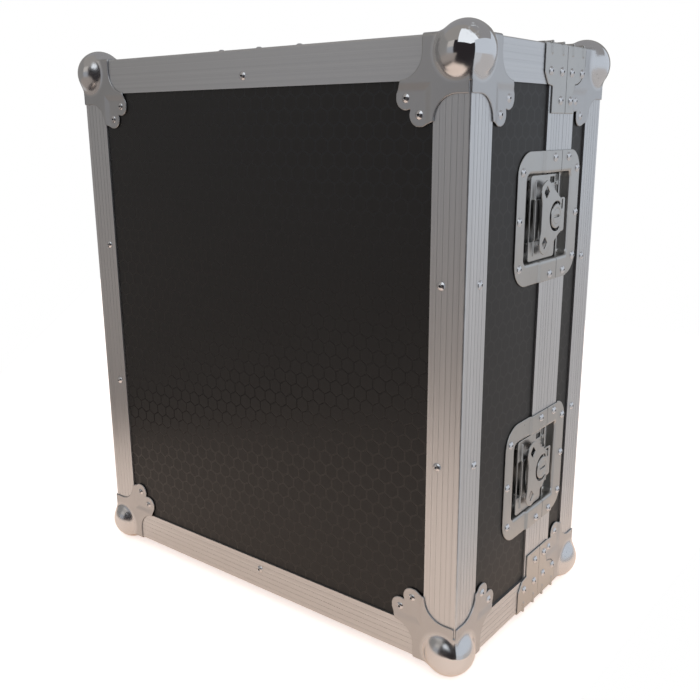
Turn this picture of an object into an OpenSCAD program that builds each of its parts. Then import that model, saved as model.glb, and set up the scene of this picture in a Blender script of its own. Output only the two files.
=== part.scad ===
// Mixer flight case, standing on its short edge with the latches on the +X side.
// The deep base is at -Y and the shallow lid at +Y. They part at the split plane
// and turn on two hinges on the -X side. Z = 0 is the floor under the ball corners.
// All lengths are in millimetres.

/* [Case] */
// Width of the case from the hinge side to the latch side
case_w = 425; // [380:5:520]
// Height of the case as it stands
case_h = 484; // [450:2:620]
// Depth of the base from its big face to the split
base_d = 147; // [135:1:200]
// Depth of the lid from the split to its big face
lid_d = 74.5; // [68:0.5:120]
// Thickness of the laminated plywood panels
panel_t = 7; // [6:0.5:9.5]
// Gap between the base and the lid along the split
split_gap = 0.4; // [0.3:0.1:1]

/* [Edge extrusions] */
// Width of each leg of the corner angle
flange_w = 30; // [26:0.5:32]
// Thickness of the legs of the angle
flange_t = 1.5; // [1.2:0.1:2]
// Distance the inner lip reaches from the case edge
lip_reach = 20; // [16:0.5:24]
// Thickness of the inner lip
lip_t = 1.2; // [1:0.1:1.5]
// Width of the base's frame leg beside the split
base_leg_w = 28.5; // [25:0.5:30]
// Width of the lid's frame leg beside the split
lid_leg_w = 18.7; // [18.3:0.1:20]
// Height of the tongue that stands out of the base's frame
tongue_h = 3.5; // [2.5:0.5:3.5]
// Thickness of the tongue
tongue_t = 2.5; // [2:0.1:3]
// Depth of the fine grooves along the legs
ridge_d = 0.15; // [0.1:0.05:0.3]
// Distance from one fine groove to the next
ridge_pitch = 4.8; // [4:0.1:6]

/* [Corners] */
// Radius of the ball
ball_r = 21; // [18:0.5:23]
// Distance of the ball's centre inside each case face
ball_inset = 11.5; // [9.5:0.5:13]
// Thickness of the pressed sheet steel
sheet_t = 1.2; // [1:0.1:1.4]
// Reach of a ball corner's leaf along the case edge
leaf_edge = 39.5; // [36:0.5:42]
// Radius of the round scoop beside a leaf's ear
scoop_r = 18; // [17:0.5:19]
// Distance of the ear's rivet from its farther case edge
ear_far = 53; // [51:0.5:54]
// Distance of the ear's rivet from its nearer case edge
ear_near = 41.5; // [40:0.5:43]
// Radius of an ear
ear_r = 8.3; // [7.5:0.1:9]
// Reach of a split brace from the split
brace_w = 39.5; // [36:0.5:42]
// Length of a split brace down the case face
brace_l = 51.5; // [48:0.5:56]

/* [Rivets] */
// Radius of a rivet's domed head
rivet_r = 3.5; // [3:0.1:4]
// Height of a rivet's domed head
rivet_h = 2; // [1.5:0.1:2.4]
// Radius of a rivet's shank
shank_r = 1.6; // [1.2:0.1:2]
// Distance of the edge rivets from the case edge
rivet_in = 20.5; // [16:0.5:24]
// Distance of the paired edge rivets from the middle of the case
rivet_pair = 70; // [40:5:90]

/* [Latches] */
// Distance of each latch and hinge from the end of the case
latch_in = 132; // [125:1:150]
// Reach of the latch dish over the base
dish_base_w = 73.3; // [70:0.1:78]
// Reach of the latch dish over the lid
dish_lid_w = 39.5; // [37:0.5:40]
// Half the height of the latch dish
dish_half = 52.5; // [51:0.5:56]
// Reach of the dish's recess into the base
open_base_w = 57; // [54:0.5:58]
// Reach of the dish's recess into the lid
open_lid_w = 21; // [20:0.5:22]
// Half the height of the recess
open_half = 34.7; // [33:0.1:37]
// Depth of the recess in the base
recess_base = 12; // [11.5:0.5:14]
// Depth of the recess in the lid
recess_lid = 10; // [8:0.5:12]
// Distance of the hub's centre from the split
hub_back = 9; // [9:0.5:12]
// Radius of the hub's head
hub_r = 10; // [9:0.5:10]
// Distance the hook plate travels in half a turn
hook_travel = 6; // [5:0.5:6]
// Reach of the hook plate past the split
hook_reach = 14; // [13:0.5:14.5]
// Half the height of the hook plate where it crosses the split
hook_half = 14.1; // [12:0.1:16]
// Radius of a wing's round end
wing_end_r = 9; // [8:0.5:9.5]
// Distance of the wing's round ends behind the hub's centre
wing_back = 19.3; // [18:0.1:20]
// Half the distance between the wing's round ends
wing_half = 20.2; // [18:0.1:21]

/* [Hinges] */
// Height of each hinge
hinge_h = 100; // [80:5:120]
// Width of each hinge leaf
hinge_leaf_w = 17.5; // [15:0.5:18]
// Thickness of each hinge leaf
hinge_leaf_t = 1.5; // [1.2:0.1:2]
// Distance of the hinge pin outside the case face
pin_out = 4; // [3.8:0.1:5]
// Radius of the hinge pin
pin_r = 2; // [1.5:0.1:2.4]

/* [Handle] */
// Width of the handle dish
grip_dish_w = 140; // [136:2:170]
// Distance of the handle dish from the base's big face
grip_dish_in = 12; // [11.5:0.5:12.5]
// Width of the dish's rim at each end of the recess
grip_side_rim = 14; // [12:0.5:16]
// Depth of the recess below the case face
grip_recess = 24; // [23:0.5:25]
// Radius of the bail's rod
bail_r = 3.5; // [3:0.1:4]
// Radius of the rubber grip
grip_r = 8; // [6.5:0.5:9]

/* [Lining] */
// Thickness of the foam lining
foam_t = 20; // [17:0.5:30]

/* [Hidden] */

$fn = 48;

// Overrun of every cut past the face it opens
over = 1;
// Clearance between pieces that are slipped together
fit = 0.3;
// Clearance between pieces that move past each other
run = 0.5;
// Radial running clearance of a pin in its bore
pin_fit = 0.05;
// Radial clearance of a rivet shank in its hole
shank_fit = 0.1;

case_d = base_d + lid_d;
ball_out = ball_r - ball_inset;
split_y = base_d - case_d / 2;
mid_z = ball_out + case_h / 2;
upper_z = ball_out + case_h - latch_in;
lower_z = ball_out + latch_in;
// Depth at which the inner lips hold the panels
seat = flange_t + panel_t;
// Depth at which the lining starts
lining_at = seat + lip_t + fit;
// Distance of a panel's edge from the case edge, clear of the angle's web
panel_in = lining_at;
// Distance of each extrusion's end from the case corner
corner_stop = flange_w;

aluminium = [0.66, 0.67, 0.68];
steel = [0.58, 0.58, 0.57];
chrome = [0.75, 0.75, 0.76];
laminate = [0.13, 0.13, 0.14];
foam_grey = [0.2, 0.2, 0.21];
rubber_black = [0.08, 0.08, 0.08];

// Places a corner piece, drawn with the case corner at the origin and the case
// towards +X, +Y and +Z, at the case corner on the given sides
module at_corner(sx, sy, sz) {
    translate([sx * case_w / 2, sy * case_d / 2, mid_z + sz * case_h / 2])
        mirror([sx > 0 ? 1 : 0, 0, 0])
            mirror([0, sy > 0 ? 1 : 0, 0])
                mirror([0, 0, sz > 0 ? 1 : 0])
                    children();
}

// Places a piece drawn flat, with x away from the split towards the lid, y up
// and z out of the face, on the latch side at the given height
module on_latch_side(z) {
    translate([case_w / 2, split_y, z])
        rotate([90, 0, 90])
            children();
}

// The same on the hinge side
module on_hinge_side(z) {
    mirror([1, 0, 0])
        on_latch_side(z)
            children();
}

// Edge extrusions

// Fine grooves across a leg, as cuts from the outer face of a section
module ridge_cuts(from, to) {
    middle = (from + to) / 2;
    count = floor((to - from) / ridge_pitch) - 1;
    for (i = [0 : count - 1])
        translate([middle + (i - (count - 1) / 2) * ridge_pitch - ridge_d, -over])
            square([2 * ridge_d, over + ridge_d]);
}

// Section of the double angle, with the case edge at the origin
module edge_section() {
    difference() {
        union() {
            translate([flange_t, flange_t])
                circle(flange_t);
            translate([flange_t, 0])
                square([flange_w - flange_t, flange_t]);
            translate([0, flange_t])
                square([flange_t, flange_w - flange_t]);
            translate([seat, seat])
                square([lip_reach - seat, lip_t]);
            translate([seat, seat])
                square([lip_t, lip_reach - seat]);
            polygon([
                [flange_t, flange_t],
                [2 * flange_t, flange_t],
                [seat + lip_t, seat],
                [seat, seat + lip_t],
                [flange_t, 2 * flange_t]
            ]);
        }
        ridge_cuts(0, flange_w);
        mirror([1, -1])
            ridge_cuts(0, flange_w);
    }
}

// One upright extrusion, standing at the origin
module upright_edge() {
    difference() {
        translate([0, 0, corner_stop])
            linear_extrude(case_h - 2 * corner_stop)
                edge_section();
        for (s = [-1, 1]) {
            translate([rivet_in, -over, case_h / 2 + s * rivet_pair])
                rotate([-90, 0, 0])
                    cylinder(r = shank_r + shank_fit, h = flange_t + 2 * over);
            translate([-over, rivet_in, case_h / 2 + s * rivet_pair])
                rotate([0, 90, 0])
                    cylinder(r = shank_r + shank_fit, h = flange_t + 2 * over);
        }
    }
}

// One cross extrusion, lying along X from the origin
module cross_edge() {
    difference() {
        translate([corner_stop, 0, 0])
            rotate([90, 0, 90])
                linear_extrude(case_w - 2 * corner_stop)
                    edge_section();
        translate([case_w / 2, -over, rivet_in])
            rotate([-90, 0, 0])
                cylinder(r = shank_r + shank_fit, h = flange_t + 2 * over);
    }
}

// One depth extrusion, lying along Y from the origin to the split frame
module depth_edge(section_d, leg) {
    translate([0, section_d - leg, 0])
        rotate([90, 0, 0])
            linear_extrude(section_d - leg - corner_stop)
                edge_section();
}

module upright_edges(sy) {
    color(aluminium)
        for (sx = [-1, 1])
            at_corner(sx, sy, -1)
                upright_edge();
}

module cross_edges(sy) {
    color(aluminium)
        for (sz = [-1, 1])
            at_corner(-1, sy, sz)
                difference() {
                    cross_edge();
                    if (sy < 0 && sz > 0)
                        translate([case_w / 2, 0, 0])
                            mirror([0, 0, 1])
                                handle_holes(flange_t + over);
                }
}

module depth_edges(sy) {
    color(aluminium)
        for (sx = [-1, 1], sz = [-1, 1])
            at_corner(sx, sy, sz)
                depth_edge(sy < 0 ? base_d : lid_d, sy < 0 ? base_leg_w : lid_leg_w);
}

// Split frames

// Thickness of the base frame's web beside the split
base_web = 3;
// Thickness of metal behind the groove in the lid's frame
groove_back = 1.5;
// Distance of the tongue's outer face inside the case face
tongue_at = 3.6;
// Clearance at the outer side and at the end of the tongue
tongue_room = 0.5;
// Clearance at the inner side, for the arc that the tongue follows
tongue_swing = 1.1;
groove_d = tongue_h + tongue_room;
lid_web = split_gap / 2 + groove_d + groove_back;

// Section of the base's frame, with x from the split towards the base and
// y into the case
module base_frame_section() {
    difference() {
        union() {
            translate([split_gap / 2, 0])
                square([base_leg_w - split_gap / 2, flange_t]);
            translate([split_gap / 2, 0])
                square([base_web - split_gap / 2, seat + lip_t]);
            translate([split_gap / 2, seat])
                square([lip_reach - split_gap / 2, lip_t]);
            translate([split_gap / 2 - tongue_h, tongue_at])
                square([tongue_h + base_web / 2, tongue_t]);
        }
        ridge_cuts(split_gap, base_leg_w);
    }
}

// Section of the lid's frame, with x from the split towards the lid
module lid_frame_section() {
    difference() {
        union() {
            translate([split_gap / 2, 0])
                square([lid_leg_w - split_gap / 2, flange_t]);
            translate([split_gap / 2, 0])
                square([lid_web - split_gap / 2, seat + lip_t]);
            translate([split_gap / 2, seat])
                square([lid_leg_w - split_gap / 2 - lip_t, lip_t]);
        }
        translate([split_gap / 2 - over, tongue_at - tongue_room])
            square([groove_d + over, tongue_room + tongue_t + tongue_swing]);
        ridge_cuts(split_gap, lid_leg_w);
    }
}

// One mitred side of a frame, centred on X, with y towards the lid and the
// outer face at z = 0
module frame_side(length, side) {
    intersection() {
        mirror([0, side < 0 ? 1 : 0, 0])
            translate([-length / 2, 0, 0])
                rotate([90, 0, 90])
                    mirror([0, 1])
                        linear_extrude(length)
                            if (side < 0)
                                base_frame_section();
                            else
                                lid_frame_section();
        translate([0, case_d, 0])
            rotate([90, 0, 0])
                linear_extrude(2 * case_d)
                    polygon([
                        [-length / 2, 0],
                        [length / 2, 0],
                        [length / 2 - seat - lip_t, -seat - lip_t],
                        [-length / 2 + seat + lip_t, -seat - lip_t]
                    ]);
    }
}

module upright_frame(side) {
    color(aluminium)
        for (sx = [-1, 1])
            difference() {
                translate([sx * case_w / 2, split_y, mid_z])
                    rotate([0, sx * 90, 0])
                        frame_side(case_h, side);
                if (sx > 0)
                    for (z = [upper_z, lower_z])
                        on_latch_side(z) {
                            tray_cut();
                            dish_holes(side);
                        }
                else
                    for (z = [upper_z, lower_z])
                        on_hinge_side(z)
                            hinge_holes(side);
                ear_notches(side);
            }
}

module cross_frame(side) {
    color(aluminium)
        for (sz = [-1, 1])
            difference() {
                translate([0, split_y, mid_z + sz * case_h / 2])
                    rotate([0, sz > 0 ? 0 : 180, 0])
                        frame_side(case_w, side);
                ear_notches(side);
            }
}

// Notches in the lid frame's leg for the ears of the ball corners
module ear_notches(side) {
    if (side > 0)
        for (sx = [-1, 1], sz = [-1, 1])
            at_corner(sx, side, sz)
                leaf_room();
}

// Panels

// A flat panel between the given far corners
module panel(from, to) {
    color(laminate)
        translate(from)
            cube(to - from);
}

panel_x = case_w / 2 - panel_in;
panel_z0 = ball_out + panel_in;
panel_z1 = ball_out + case_h - panel_in;
base_y0 = -case_d / 2 + panel_in;
base_y1 = split_y - base_web - fit;
lid_y0 = split_y + lid_web + fit;
lid_y1 = case_d / 2 - panel_in;

module big_panel(sy) {
    near = case_d / 2 - seat;
    far = case_d / 2 - flange_t;
    panel(
        [-panel_x, sy > 0 ? near : -far, panel_z0],
        [panel_x, sy > 0 ? far : -near, panel_z1]
    );
}

module end_panel(sy, sz) {
    y0 = sy < 0 ? base_y0 : lid_y0;
    y1 = sy < 0 ? base_y1 : lid_y1;
    z = mid_z + sz * (case_h / 2 - flange_t - panel_t / 2);
    panel([-panel_x, y0, z - panel_t / 2], [panel_x, y1, z + panel_t / 2]);
}

module side_panel(sy, sx) {
    y0 = sy < 0 ? base_y0 : lid_y0;
    y1 = sy < 0 ? base_y1 : lid_y1;
    x = sx * (case_w / 2 - flange_t - panel_t / 2);
    panel([x - panel_t / 2, y0, panel_z0], [x + panel_t / 2, y1, panel_z1]);
}

module base_top_panel() {
    color(laminate)
        difference() {
            end_panel(-1, 1);
            on_handle() {
                handle_tray_block(fit);
                axle_room();
            }
        }
}

module latch_side_panel(sy) {
    color(laminate)
        difference() {
            side_panel(sy, 1);
            for (z = [upper_z, lower_z])
                on_latch_side(z)
                    tray_cut();
        }
}

// Ball corners

// Clearance between the flange and the step in a leaf
step = flange_w + fit;
// Place of an ear's cheek, as shares of the ear's radius from its rivet
cheek_share = [0.95, -0.3];
// Height of the scoop's centre above the case edge
scoop_at = 11;

// Outline of a leaf, with the case corner at the origin
module leaf_outline(grow) {
    difference() {
        union() {
            translate([-sheet_t, -sheet_t])
                square(leaf_edge + sheet_t + grow);
            polygon([
                [0, 0],
                [leaf_edge + grow, 0],
                [leaf_edge + grow, scoop_at],
                [leaf_edge + scoop_r, scoop_at + scoop_r - grow],
                [ear_far + ear_r * cheek_share[0] + grow, ear_near + ear_r * cheek_share[1]],
                [ear_far, ear_near],
                [ear_near, ear_far],
                [ear_near + ear_r * cheek_share[1], ear_far + ear_r * cheek_share[0] + grow],
                [scoop_at + scoop_r - grow, leaf_edge + scoop_r],
                [scoop_at, leaf_edge + grow],
                [0, leaf_edge + grow]
            ]);
            for (p = [[ear_far, ear_near], [ear_near, ear_far]])
                translate(p)
                    circle(ear_r + grow);
        }
        for (p = [[leaf_edge + scoop_r, scoop_at], [scoop_at, leaf_edge + scoop_r]])
            translate(p)
                circle(scoop_r - grow);
    }
}

// A leaf on the face z = 0, stepped down from the extrusions to the panel
module corner_leaf() {
    reach = ear_far + 2 * ear_r;
    difference() {
        translate([0, 0, -sheet_t])
            linear_extrude(sheet_t + flange_t)
                leaf_outline(0);
        translate([-reach, -reach, 0])
            cube([reach + step, 2 * reach, flange_t + over]);
        translate([-reach, -reach, 0])
            cube([2 * reach, reach + step, flange_t + over]);
        translate([step + sheet_t, step + sheet_t, -sheet_t - over])
            cube([reach, reach, over + flange_t]);
        for (p = [[ear_far, ear_near], [ear_near, ear_far]])
            translate([p[0], p[1], -sheet_t - over])
                cylinder(r = shank_r + shank_fit, h = sheet_t + flange_t + 2 * over);
    }
}

// The slit where the pressed sheet closes along one case edge
slit_w = 1.3;

module ball_corner() {
    color(chrome)
        difference() {
            union() {
                for (turn = [0, 1, 2])
                    rotate(a = turn * 120, v = [1, 1, 1])
                        corner_leaf();
                difference() {
                    translate([ball_inset, ball_inset, ball_inset])
                        sphere(ball_r);
                    cube(2 * ball_r);
                }
            }
            translate([ball_inset, ball_inset, ball_inset])
                sphere(ball_r - sheet_t);
            translate([0, -sheet_t - over, ball_inset + ball_r - sheet_t])
                cube([slit_w, sheet_t + over, leaf_edge]);
        }
}

// Split braces

// Reach of the brace's straight side down the face
brace_shoulder = 21;
// Place where the slant ends, from the split and from the case edge
brace_slant = [32.8, 30];
// Width of the base brace's leg
base_brace_leg = 25;
// Width of the lid brace's leg
lid_brace_leg = 17;
// Rivets of a brace, from the split and from the case edge
brace_rivets = [[9.2, 20], [29, 20], [9.2, 41.5]];
// Radius and length of the pressed ribs over the bend
rib_r = 0.8;
rib_l = 8;

// One arm of a brace on a face, with x from the split and y from the case edge
module brace_arm(leg) {
    difference() {
        union() {
            linear_extrude(sheet_t)
                polygon([
                    [split_gap / 2, -sheet_t],
                    [brace_w, -sheet_t],
                    [brace_w, brace_shoulder],
                    brace_slant,
                    [leg, brace_slant[1] + sheet_t],
                    [leg, brace_l],
                    [split_gap / 2, brace_l]
                ]);
            for (i = [0, 1])
                translate([brace_rivets[i][0], -sheet_t, sheet_t])
                    rotate([-90, 0, 0])
                        cylinder(r = rib_r, h = rib_l);
        }
        for (p = brace_rivets)
            translate([p[0], p[1], -over])
                cylinder(r = shank_r + shank_fit, h = sheet_t + 2 * over);
    }
}

// Both arms of a brace at the case edge that runs along X from the origin,
// with the case towards +Y and +Z
module brace(leg) {
    rotate([90, 0, 0])
        brace_arm(leg);
    mirror([0, 1, -1])
        rotate([90, 0, 0])
            brace_arm(leg);
}

// The same places for a brace's rivets
module at_brace_rivets() {
    for (p = brace_rivets) {
        translate([p[0], -sheet_t, p[1]])
            rotate([90, 0, 0])
                children();
        translate([p[0], p[1], -sheet_t])
            mirror([0, 0, 1])
                children();
    }
}

// Places a brace drawn along X from the split at the case edge on the given
// sides, towards the base or the lid
module at_split_corner(sx, sy, sz) {
    translate([sx * case_w / 2, split_y, mid_z + sz * case_h / 2])
        mirror([sx > 0 ? 1 : 0, 0, 0])
            mirror([0, 0, sz > 0 ? 1 : 0])
                mirror([0, sy < 0 ? 1 : 0, 0])
                    mirror([1, -1, 0])
                        children();
}

module braces(sy) {
    color(steel)
        for (sx = [-1, 1], sz = [-1, 1])
            difference() {
                at_split_corner(sx, sy, sz)
                    brace(sy < 0 ? base_brace_leg : lid_brace_leg);
                at_corner(sx, sy, sz)
                    leaf_room();
            }
}

// The room that a ball corner's leaves need in the braces and in the lid's frame
module leaf_room() {
    for (turn = [0, 1, 2])
        rotate(a = turn * 120, v = [1, 1, 1])
            translate([0, 0, -3 * sheet_t])
                linear_extrude(3 * sheet_t + flange_t)
                    leaf_outline(fit);
}

// Rivets

// Radius of the hole left by a rivet's mandrel, as a share of the shank's
mandrel_share = 0.7;

// A blind rivet on the plane z = 0, with its shank in the sheet below
module rivet(depth) {
    cap_r = (rivet_r * rivet_r + rivet_h * rivet_h) / (2 * rivet_h);
    difference() {
        union() {
            intersection() {
                translate([0, 0, rivet_h - cap_r])
                    sphere(cap_r);
                cylinder(r = rivet_r, h = rivet_h);
            }
            translate([0, 0, -depth])
                cylinder(r = shank_r, h = depth + rivet_h / 2);
        }
        translate([0, 0, rivet_h / 2])
            cylinder(r = shank_r * mandrel_share, h = rivet_h);
    }
}

// Rivets in the ears of one ball corner
module ear_rivets() {
    for (turn = [0, 1, 2])
        rotate(a = turn * 120, v = [1, 1, 1])
            for (p = [[ear_far, ear_near], [ear_near, ear_far]])
                translate([p[0], p[1], flange_t - sheet_t])
                    mirror([0, 0, 1])
                        rivet(sheet_t);
}

// Rivets in the long edges of the base or the lid
module edge_rivets(sy) {
    for (sx = [-1, 1], s = [-1, 1])
        at_corner(sx, sy, -1) {
            translate([rivet_in, 0, case_h / 2 + s * rivet_pair])
                rotate([90, 0, 0])
                    rivet(flange_t);
            translate([0, rivet_in, case_h / 2 + s * rivet_pair])
                rotate([0, -90, 0])
                    rivet(flange_t);
        }
    for (sz = [-1, 1])
        at_corner(-1, sy, sz)
            translate([case_w / 2, 0, rivet_in])
                rotate([90, 0, 0])
                    rivet(flange_t);
}

module corner_rivets(sy) {
    for (sx = [-1, 1], sz = [-1, 1]) {
        at_corner(sx, sy, sz)
            ear_rivets();
        at_split_corner(sx, sy, sz)
            at_brace_rivets()
                rivet(sheet_t);
    }
}

// Latches

// Radii of the dish's outer corners over the base and over the lid
dish_base_round = 21;
dish_lid_round = 18;
// Radius of the recess's corners
open_round = 5;
// Rivets of the dish over the base and over the lid
base_dish_rivets = [[-65, 37], [-65, -37], [-68, 0], [-12.5, 47], [-12.5, -47]];
lid_dish_rivets = [[34, 37], [34, -37], [35.5, 0], [12.5, 47], [12.5, -47]];

// A rectangle from the split outwards, with its two far corners rounded
module half_outline(width, half, round) {
    square([width - round, half]);
    translate([0, -half])
        square([width - round, half]);
    translate([0, round - half])
        square([width, 2 * (half - round)]);
    for (s = [-1, 1])
        translate([width - round, s * (half - round)])
            circle(round);
}

// Cut through the panel and the frame for the two trays
module tray_cut() {
    grow = sheet_t + fit;
    mirror([1, 0, 0])
        translate([-over, 0, -2 * recess_base])
            linear_extrude(2 * recess_base + over)
                half_outline(open_base_w + grow + over, open_half + grow, open_round);
    translate([-over, 0, -2 * recess_base])
        linear_extrude(2 * recess_base + over)
            half_outline(open_lid_w + grow + over, open_half + grow, open_round);
}

// Drills the frame under the dish's rivets
module dish_holes(side) {
    for (p = side < 0 ? base_dish_rivets : lid_dish_rivets)
        if (abs(p[0]) < lid_leg_w)
            translate([p[0], p[1], -flange_t - over])
                cylinder(r = shank_r + shank_fit, h = flange_t + 2 * over);
}

// One half of the dish, drawn from the split towards +X, stepped down from the
// frame's leg to the panel
module dish_half_solid(width, round, leg, open_w, recess, rivets) {
    edge = leg + fit;
    difference() {
        union() {
            translate([0, 0, -flange_t])
                linear_extrude(flange_t + sheet_t)
                    half_outline(width, dish_half, round);
            translate([0, 0, -recess - sheet_t])
                linear_extrude(recess + sheet_t)
                    half_outline(open_w + sheet_t, open_half + sheet_t, open_round + sheet_t);
        }
        for (s = [-1, 1])
            translate([-over, s > 0 ? open_half + sheet_t : -dish_half - over, -flange_t - over])
                cube([edge + over, dish_half - open_half - sheet_t + over, flange_t + over]);
        translate([edge + sheet_t, -dish_half - over, sheet_t - flange_t])
            cube([width, 2 * dish_half + 2 * over, flange_t + over]);
        translate([-over, 0, -recess])
            linear_extrude(recess + flange_t + over)
                half_outline(open_w + over, open_half, open_round);
        translate([-over, -dish_half - over, -recess - sheet_t - over])
            cube([split_gap / 2 + over, 2 * dish_half + 2 * over, recess + 3 * sheet_t + over]);
        for (p = rivets)
            translate([abs(p[0]), p[1], -flange_t - over])
                cylinder(r = shank_r + shank_fit, h = 2 * flange_t + 2 * over);
    }
}

module base_dish() {
    color(steel)
        mirror([1, 0, 0])
            dish_half_solid(dish_base_w, dish_base_round, base_leg_w, open_base_w,
                recess_base, base_dish_rivets);
}

// Distance of the keeper's near face from the split
keeper_at = 6.8;
// Height of the hook's lip below its plate
lip_drop = 1.8;
hook_t = 1.5;

module lid_dish() {
    color(steel) {
        dish_half_solid(dish_lid_w, dish_lid_round, lid_leg_w, open_lid_w,
            recess_lid, lid_dish_rivets);
        translate([keeper_at, -open_half, -recess_lid])
            cube([sheet_t, 2 * open_half, recess_lid - hook_t - lip_drop - fit]);
    }
}

module dish_rivets(list, leg) {
    for (p = list)
        translate([p[0], p[1], abs(p[0]) > leg ? sheet_t - flange_t : sheet_t])
            rivet(sheet_t);
}

// Latch mechanism, drawn with the hub's centre at the origin

hub_x = -hub_back;
// Height of the wing's underside above the case face
wing_low = sheet_t + run;
wing_t = 1.2;
// Place of the wing's pin from the hub's centre and above the case face
wing_pin_x = 7.3;
wing_pin_z = 2;
wing_pin_r = 0.9;
knuckle_r = 1.6;
// Half the length of the wing's pin
wing_pin_half = 14;
hub_low = 0.4;
hub_high = 3.4;
// Radius of the hub's shaft through the carrier
shaft_r = 4.6;
// Offset of the cam from the hub's centre, half the hook plate's travel
cam_e = hook_travel / 2;
cam_r = 8;
// Room beside the cam, as it turns evenly and the plate slides evenly
cam_room = 0.95;
// Height of the cam's top, inside the hub's head
cam_high = 0.9;
// Clearance between the plates of the mechanism
plate_gap = 0.3;
carrier_t = 1.2;
carrier_high = -hook_t - plate_gap;
carrier_back = 24;
carrier_half = 22;
carrier_foot = 7;
carrier_lip_half = 16;
carrier_lip_h = 5;
hook_back = 22;
hook_side = 17;

module carrier() {
    low = -recess_base;
    color(steel)
        difference() {
            union() {
                translate([-carrier_back, -carrier_half, carrier_high - carrier_t])
                    cube([carrier_back + hub_back - run, 2 * carrier_half, carrier_t]);
                for (s = [-1, 1])
                    mirror([0, s > 0 ? 0 : 1, 0]) {
                        translate([-carrier_back, carrier_half - carrier_t, low])
                            cube([carrier_back + hub_back - run, carrier_t, carrier_high - low]);
                        translate([-carrier_back, carrier_half - carrier_t, low])
                            cube([carrier_back + hub_back - run, carrier_foot, carrier_t]);
                    }
                translate([-carrier_back, -carrier_lip_half, carrier_high - carrier_lip_h])
                    cube([carrier_t, 2 * carrier_lip_half, carrier_lip_h]);
            }
            translate([0, 0, carrier_high - carrier_t - over])
                cylinder(r = shaft_r + pin_fit, h = carrier_t + 2 * over);
        }
}

module hub() {
    washer_high = carrier_high - carrier_t - plate_gap;
    color(steel)
        difference() {
            union() {
                translate([0, 0, hub_low])
                    cylinder(r = hub_r, h = hub_high - hub_low);
                translate([-cam_e, 0, -hook_t])
                    cylinder(r = cam_r, h = hook_t + cam_high);
                translate([0, 0, washer_high - carrier_t])
                    cylinder(r = shaft_r, h = hub_low - washer_high + carrier_t);
                translate([0, 0, washer_high - carrier_t])
                    cylinder(r = shaft_r + 2 * carrier_t, h = carrier_t);
            }
            translate([wing_pin_x, 0, wing_pin_z])
                rotate([90, 0, 0])
                    cylinder(r = wing_pin_r + pin_fit / 2, h = 2 * hub_r, center = true);
            translate([-hub_r / 2, -wing_pin_r, hub_high - wing_pin_r])
                cube([hub_r, 2 * wing_pin_r, 2 * wing_pin_r]);
        }
}

module hook() {
    slot_x = cam_r + cam_room;
    slot_y = cam_r + cam_e + run;
    front = hook_reach + hub_back;
    color(steel)
        difference() {
            union() {
                translate([-hook_back, -hook_side, -hook_t])
                    cube([hook_back + hub_back - run, 2 * hook_side, hook_t]);
                translate([-hook_back, -hook_half, -hook_t])
                    cube([hook_back + front, 2 * hook_half, hook_t]);
                translate([front - hook_t, -hook_half, -hook_t - lip_drop])
                    cube([hook_t, 2 * hook_half, lip_drop + hook_t]);
            }
            translate([-cam_e - slot_x, -slot_y, -hook_t - over])
                cube([2 * slot_x, 2 * slot_y, hook_t + 2 * over]);
        }
}

// Radius of the wing's cut-out round the hub's head
wing_cut_r = hub_r + 1.5;
// Radius of the hole in each of the wing's round ends
wing_hole_r = 2.6;
// Place where a round end meets the wing's slant, as shares of its radius
wing_cheek_share = [0.45, 0.9];

module wing() {
    cheek_x = wing_end_r * wing_cheek_share[0] - wing_back;
    cheek_y = wing_end_r * wing_cheek_share[1] + wing_half;
    color(steel)
        difference() {
            union() {
                translate([0, 0, wing_low])
                    linear_extrude(wing_t)
                        union() {
                            for (s = [-1, 1])
                                translate([-wing_back, s * wing_half])
                                    circle(wing_end_r);
                            polygon([
                                [-wing_back - wing_end_r, -wing_half],
                                [-wing_back - wing_end_r, wing_half],
                                [-wing_back, wing_half + wing_end_r],
                                [cheek_x, cheek_y],
                                [wing_pin_x, hook_half],
                                [wing_pin_x, -hook_half],
                                [cheek_x, -cheek_y],
                                [-wing_back, -wing_half - wing_end_r]
                            ]);
                        }
                for (s = [-1, 1])
                    translate([wing_pin_x, s * (wing_pin_half + hub_r - fit) / 2, wing_pin_z])
                        rotate([90, 0, 0])
                            cylinder(r = knuckle_r, h = wing_pin_half - hub_r + fit, center = true);
            }
            translate([0, 0, wing_low - over])
                cylinder(r = wing_cut_r, h = wing_t + 2 * over);
            translate([wing_pin_x - knuckle_r - fit, fit - hub_r, wing_low - over])
                cube([2 * knuckle_r + 2 * fit, 2 * (hub_r - fit), wing_t + 2 * over]);
            translate([wing_pin_x, 0, wing_pin_z])
                rotate([90, 0, 0])
                    cylinder(r = wing_pin_r + pin_fit, h = 2 * wing_pin_half + 2 * over, center = true);
            for (s = [-1, 1])
                translate([-wing_back, s * wing_half, wing_low - over])
                    cylinder(r = wing_hole_r, h = wing_t + 2 * over);
        }
}

module wing_pin() {
    color(steel)
        translate([wing_pin_x, 0, wing_pin_z])
            rotate([90, 0, 0])
                cylinder(r = wing_pin_r, h = 2 * wing_pin_half, center = true);
}

module at_hub(z) {
    on_latch_side(z)
        translate([hub_x, 0, 0])
            children();
}

// Hinges

hinge_knuckle_r = pin_out - fit;
// Number of knuckles of a hinge, the base's at both ends
hinge_knuckles = 5;
hinge_pitch = hinge_h / hinge_knuckles;
// Rivets of a leaf, from the pin and from the hinge's middle as shares of its height
hinge_rivet_x = 11.8;
hinge_rivet_share = [-0.38, -0.13, 0.13, 0.38];
pin_head_r = 3;
pin_head_h = 1.5;

module hinge_holes(side) {
    for (share = hinge_rivet_share)
        translate([side * hinge_rivet_x, share * hinge_h, -flange_t - over])
            cylinder(r = shank_r + shank_fit, h = flange_t + 2 * over);
}

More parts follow.
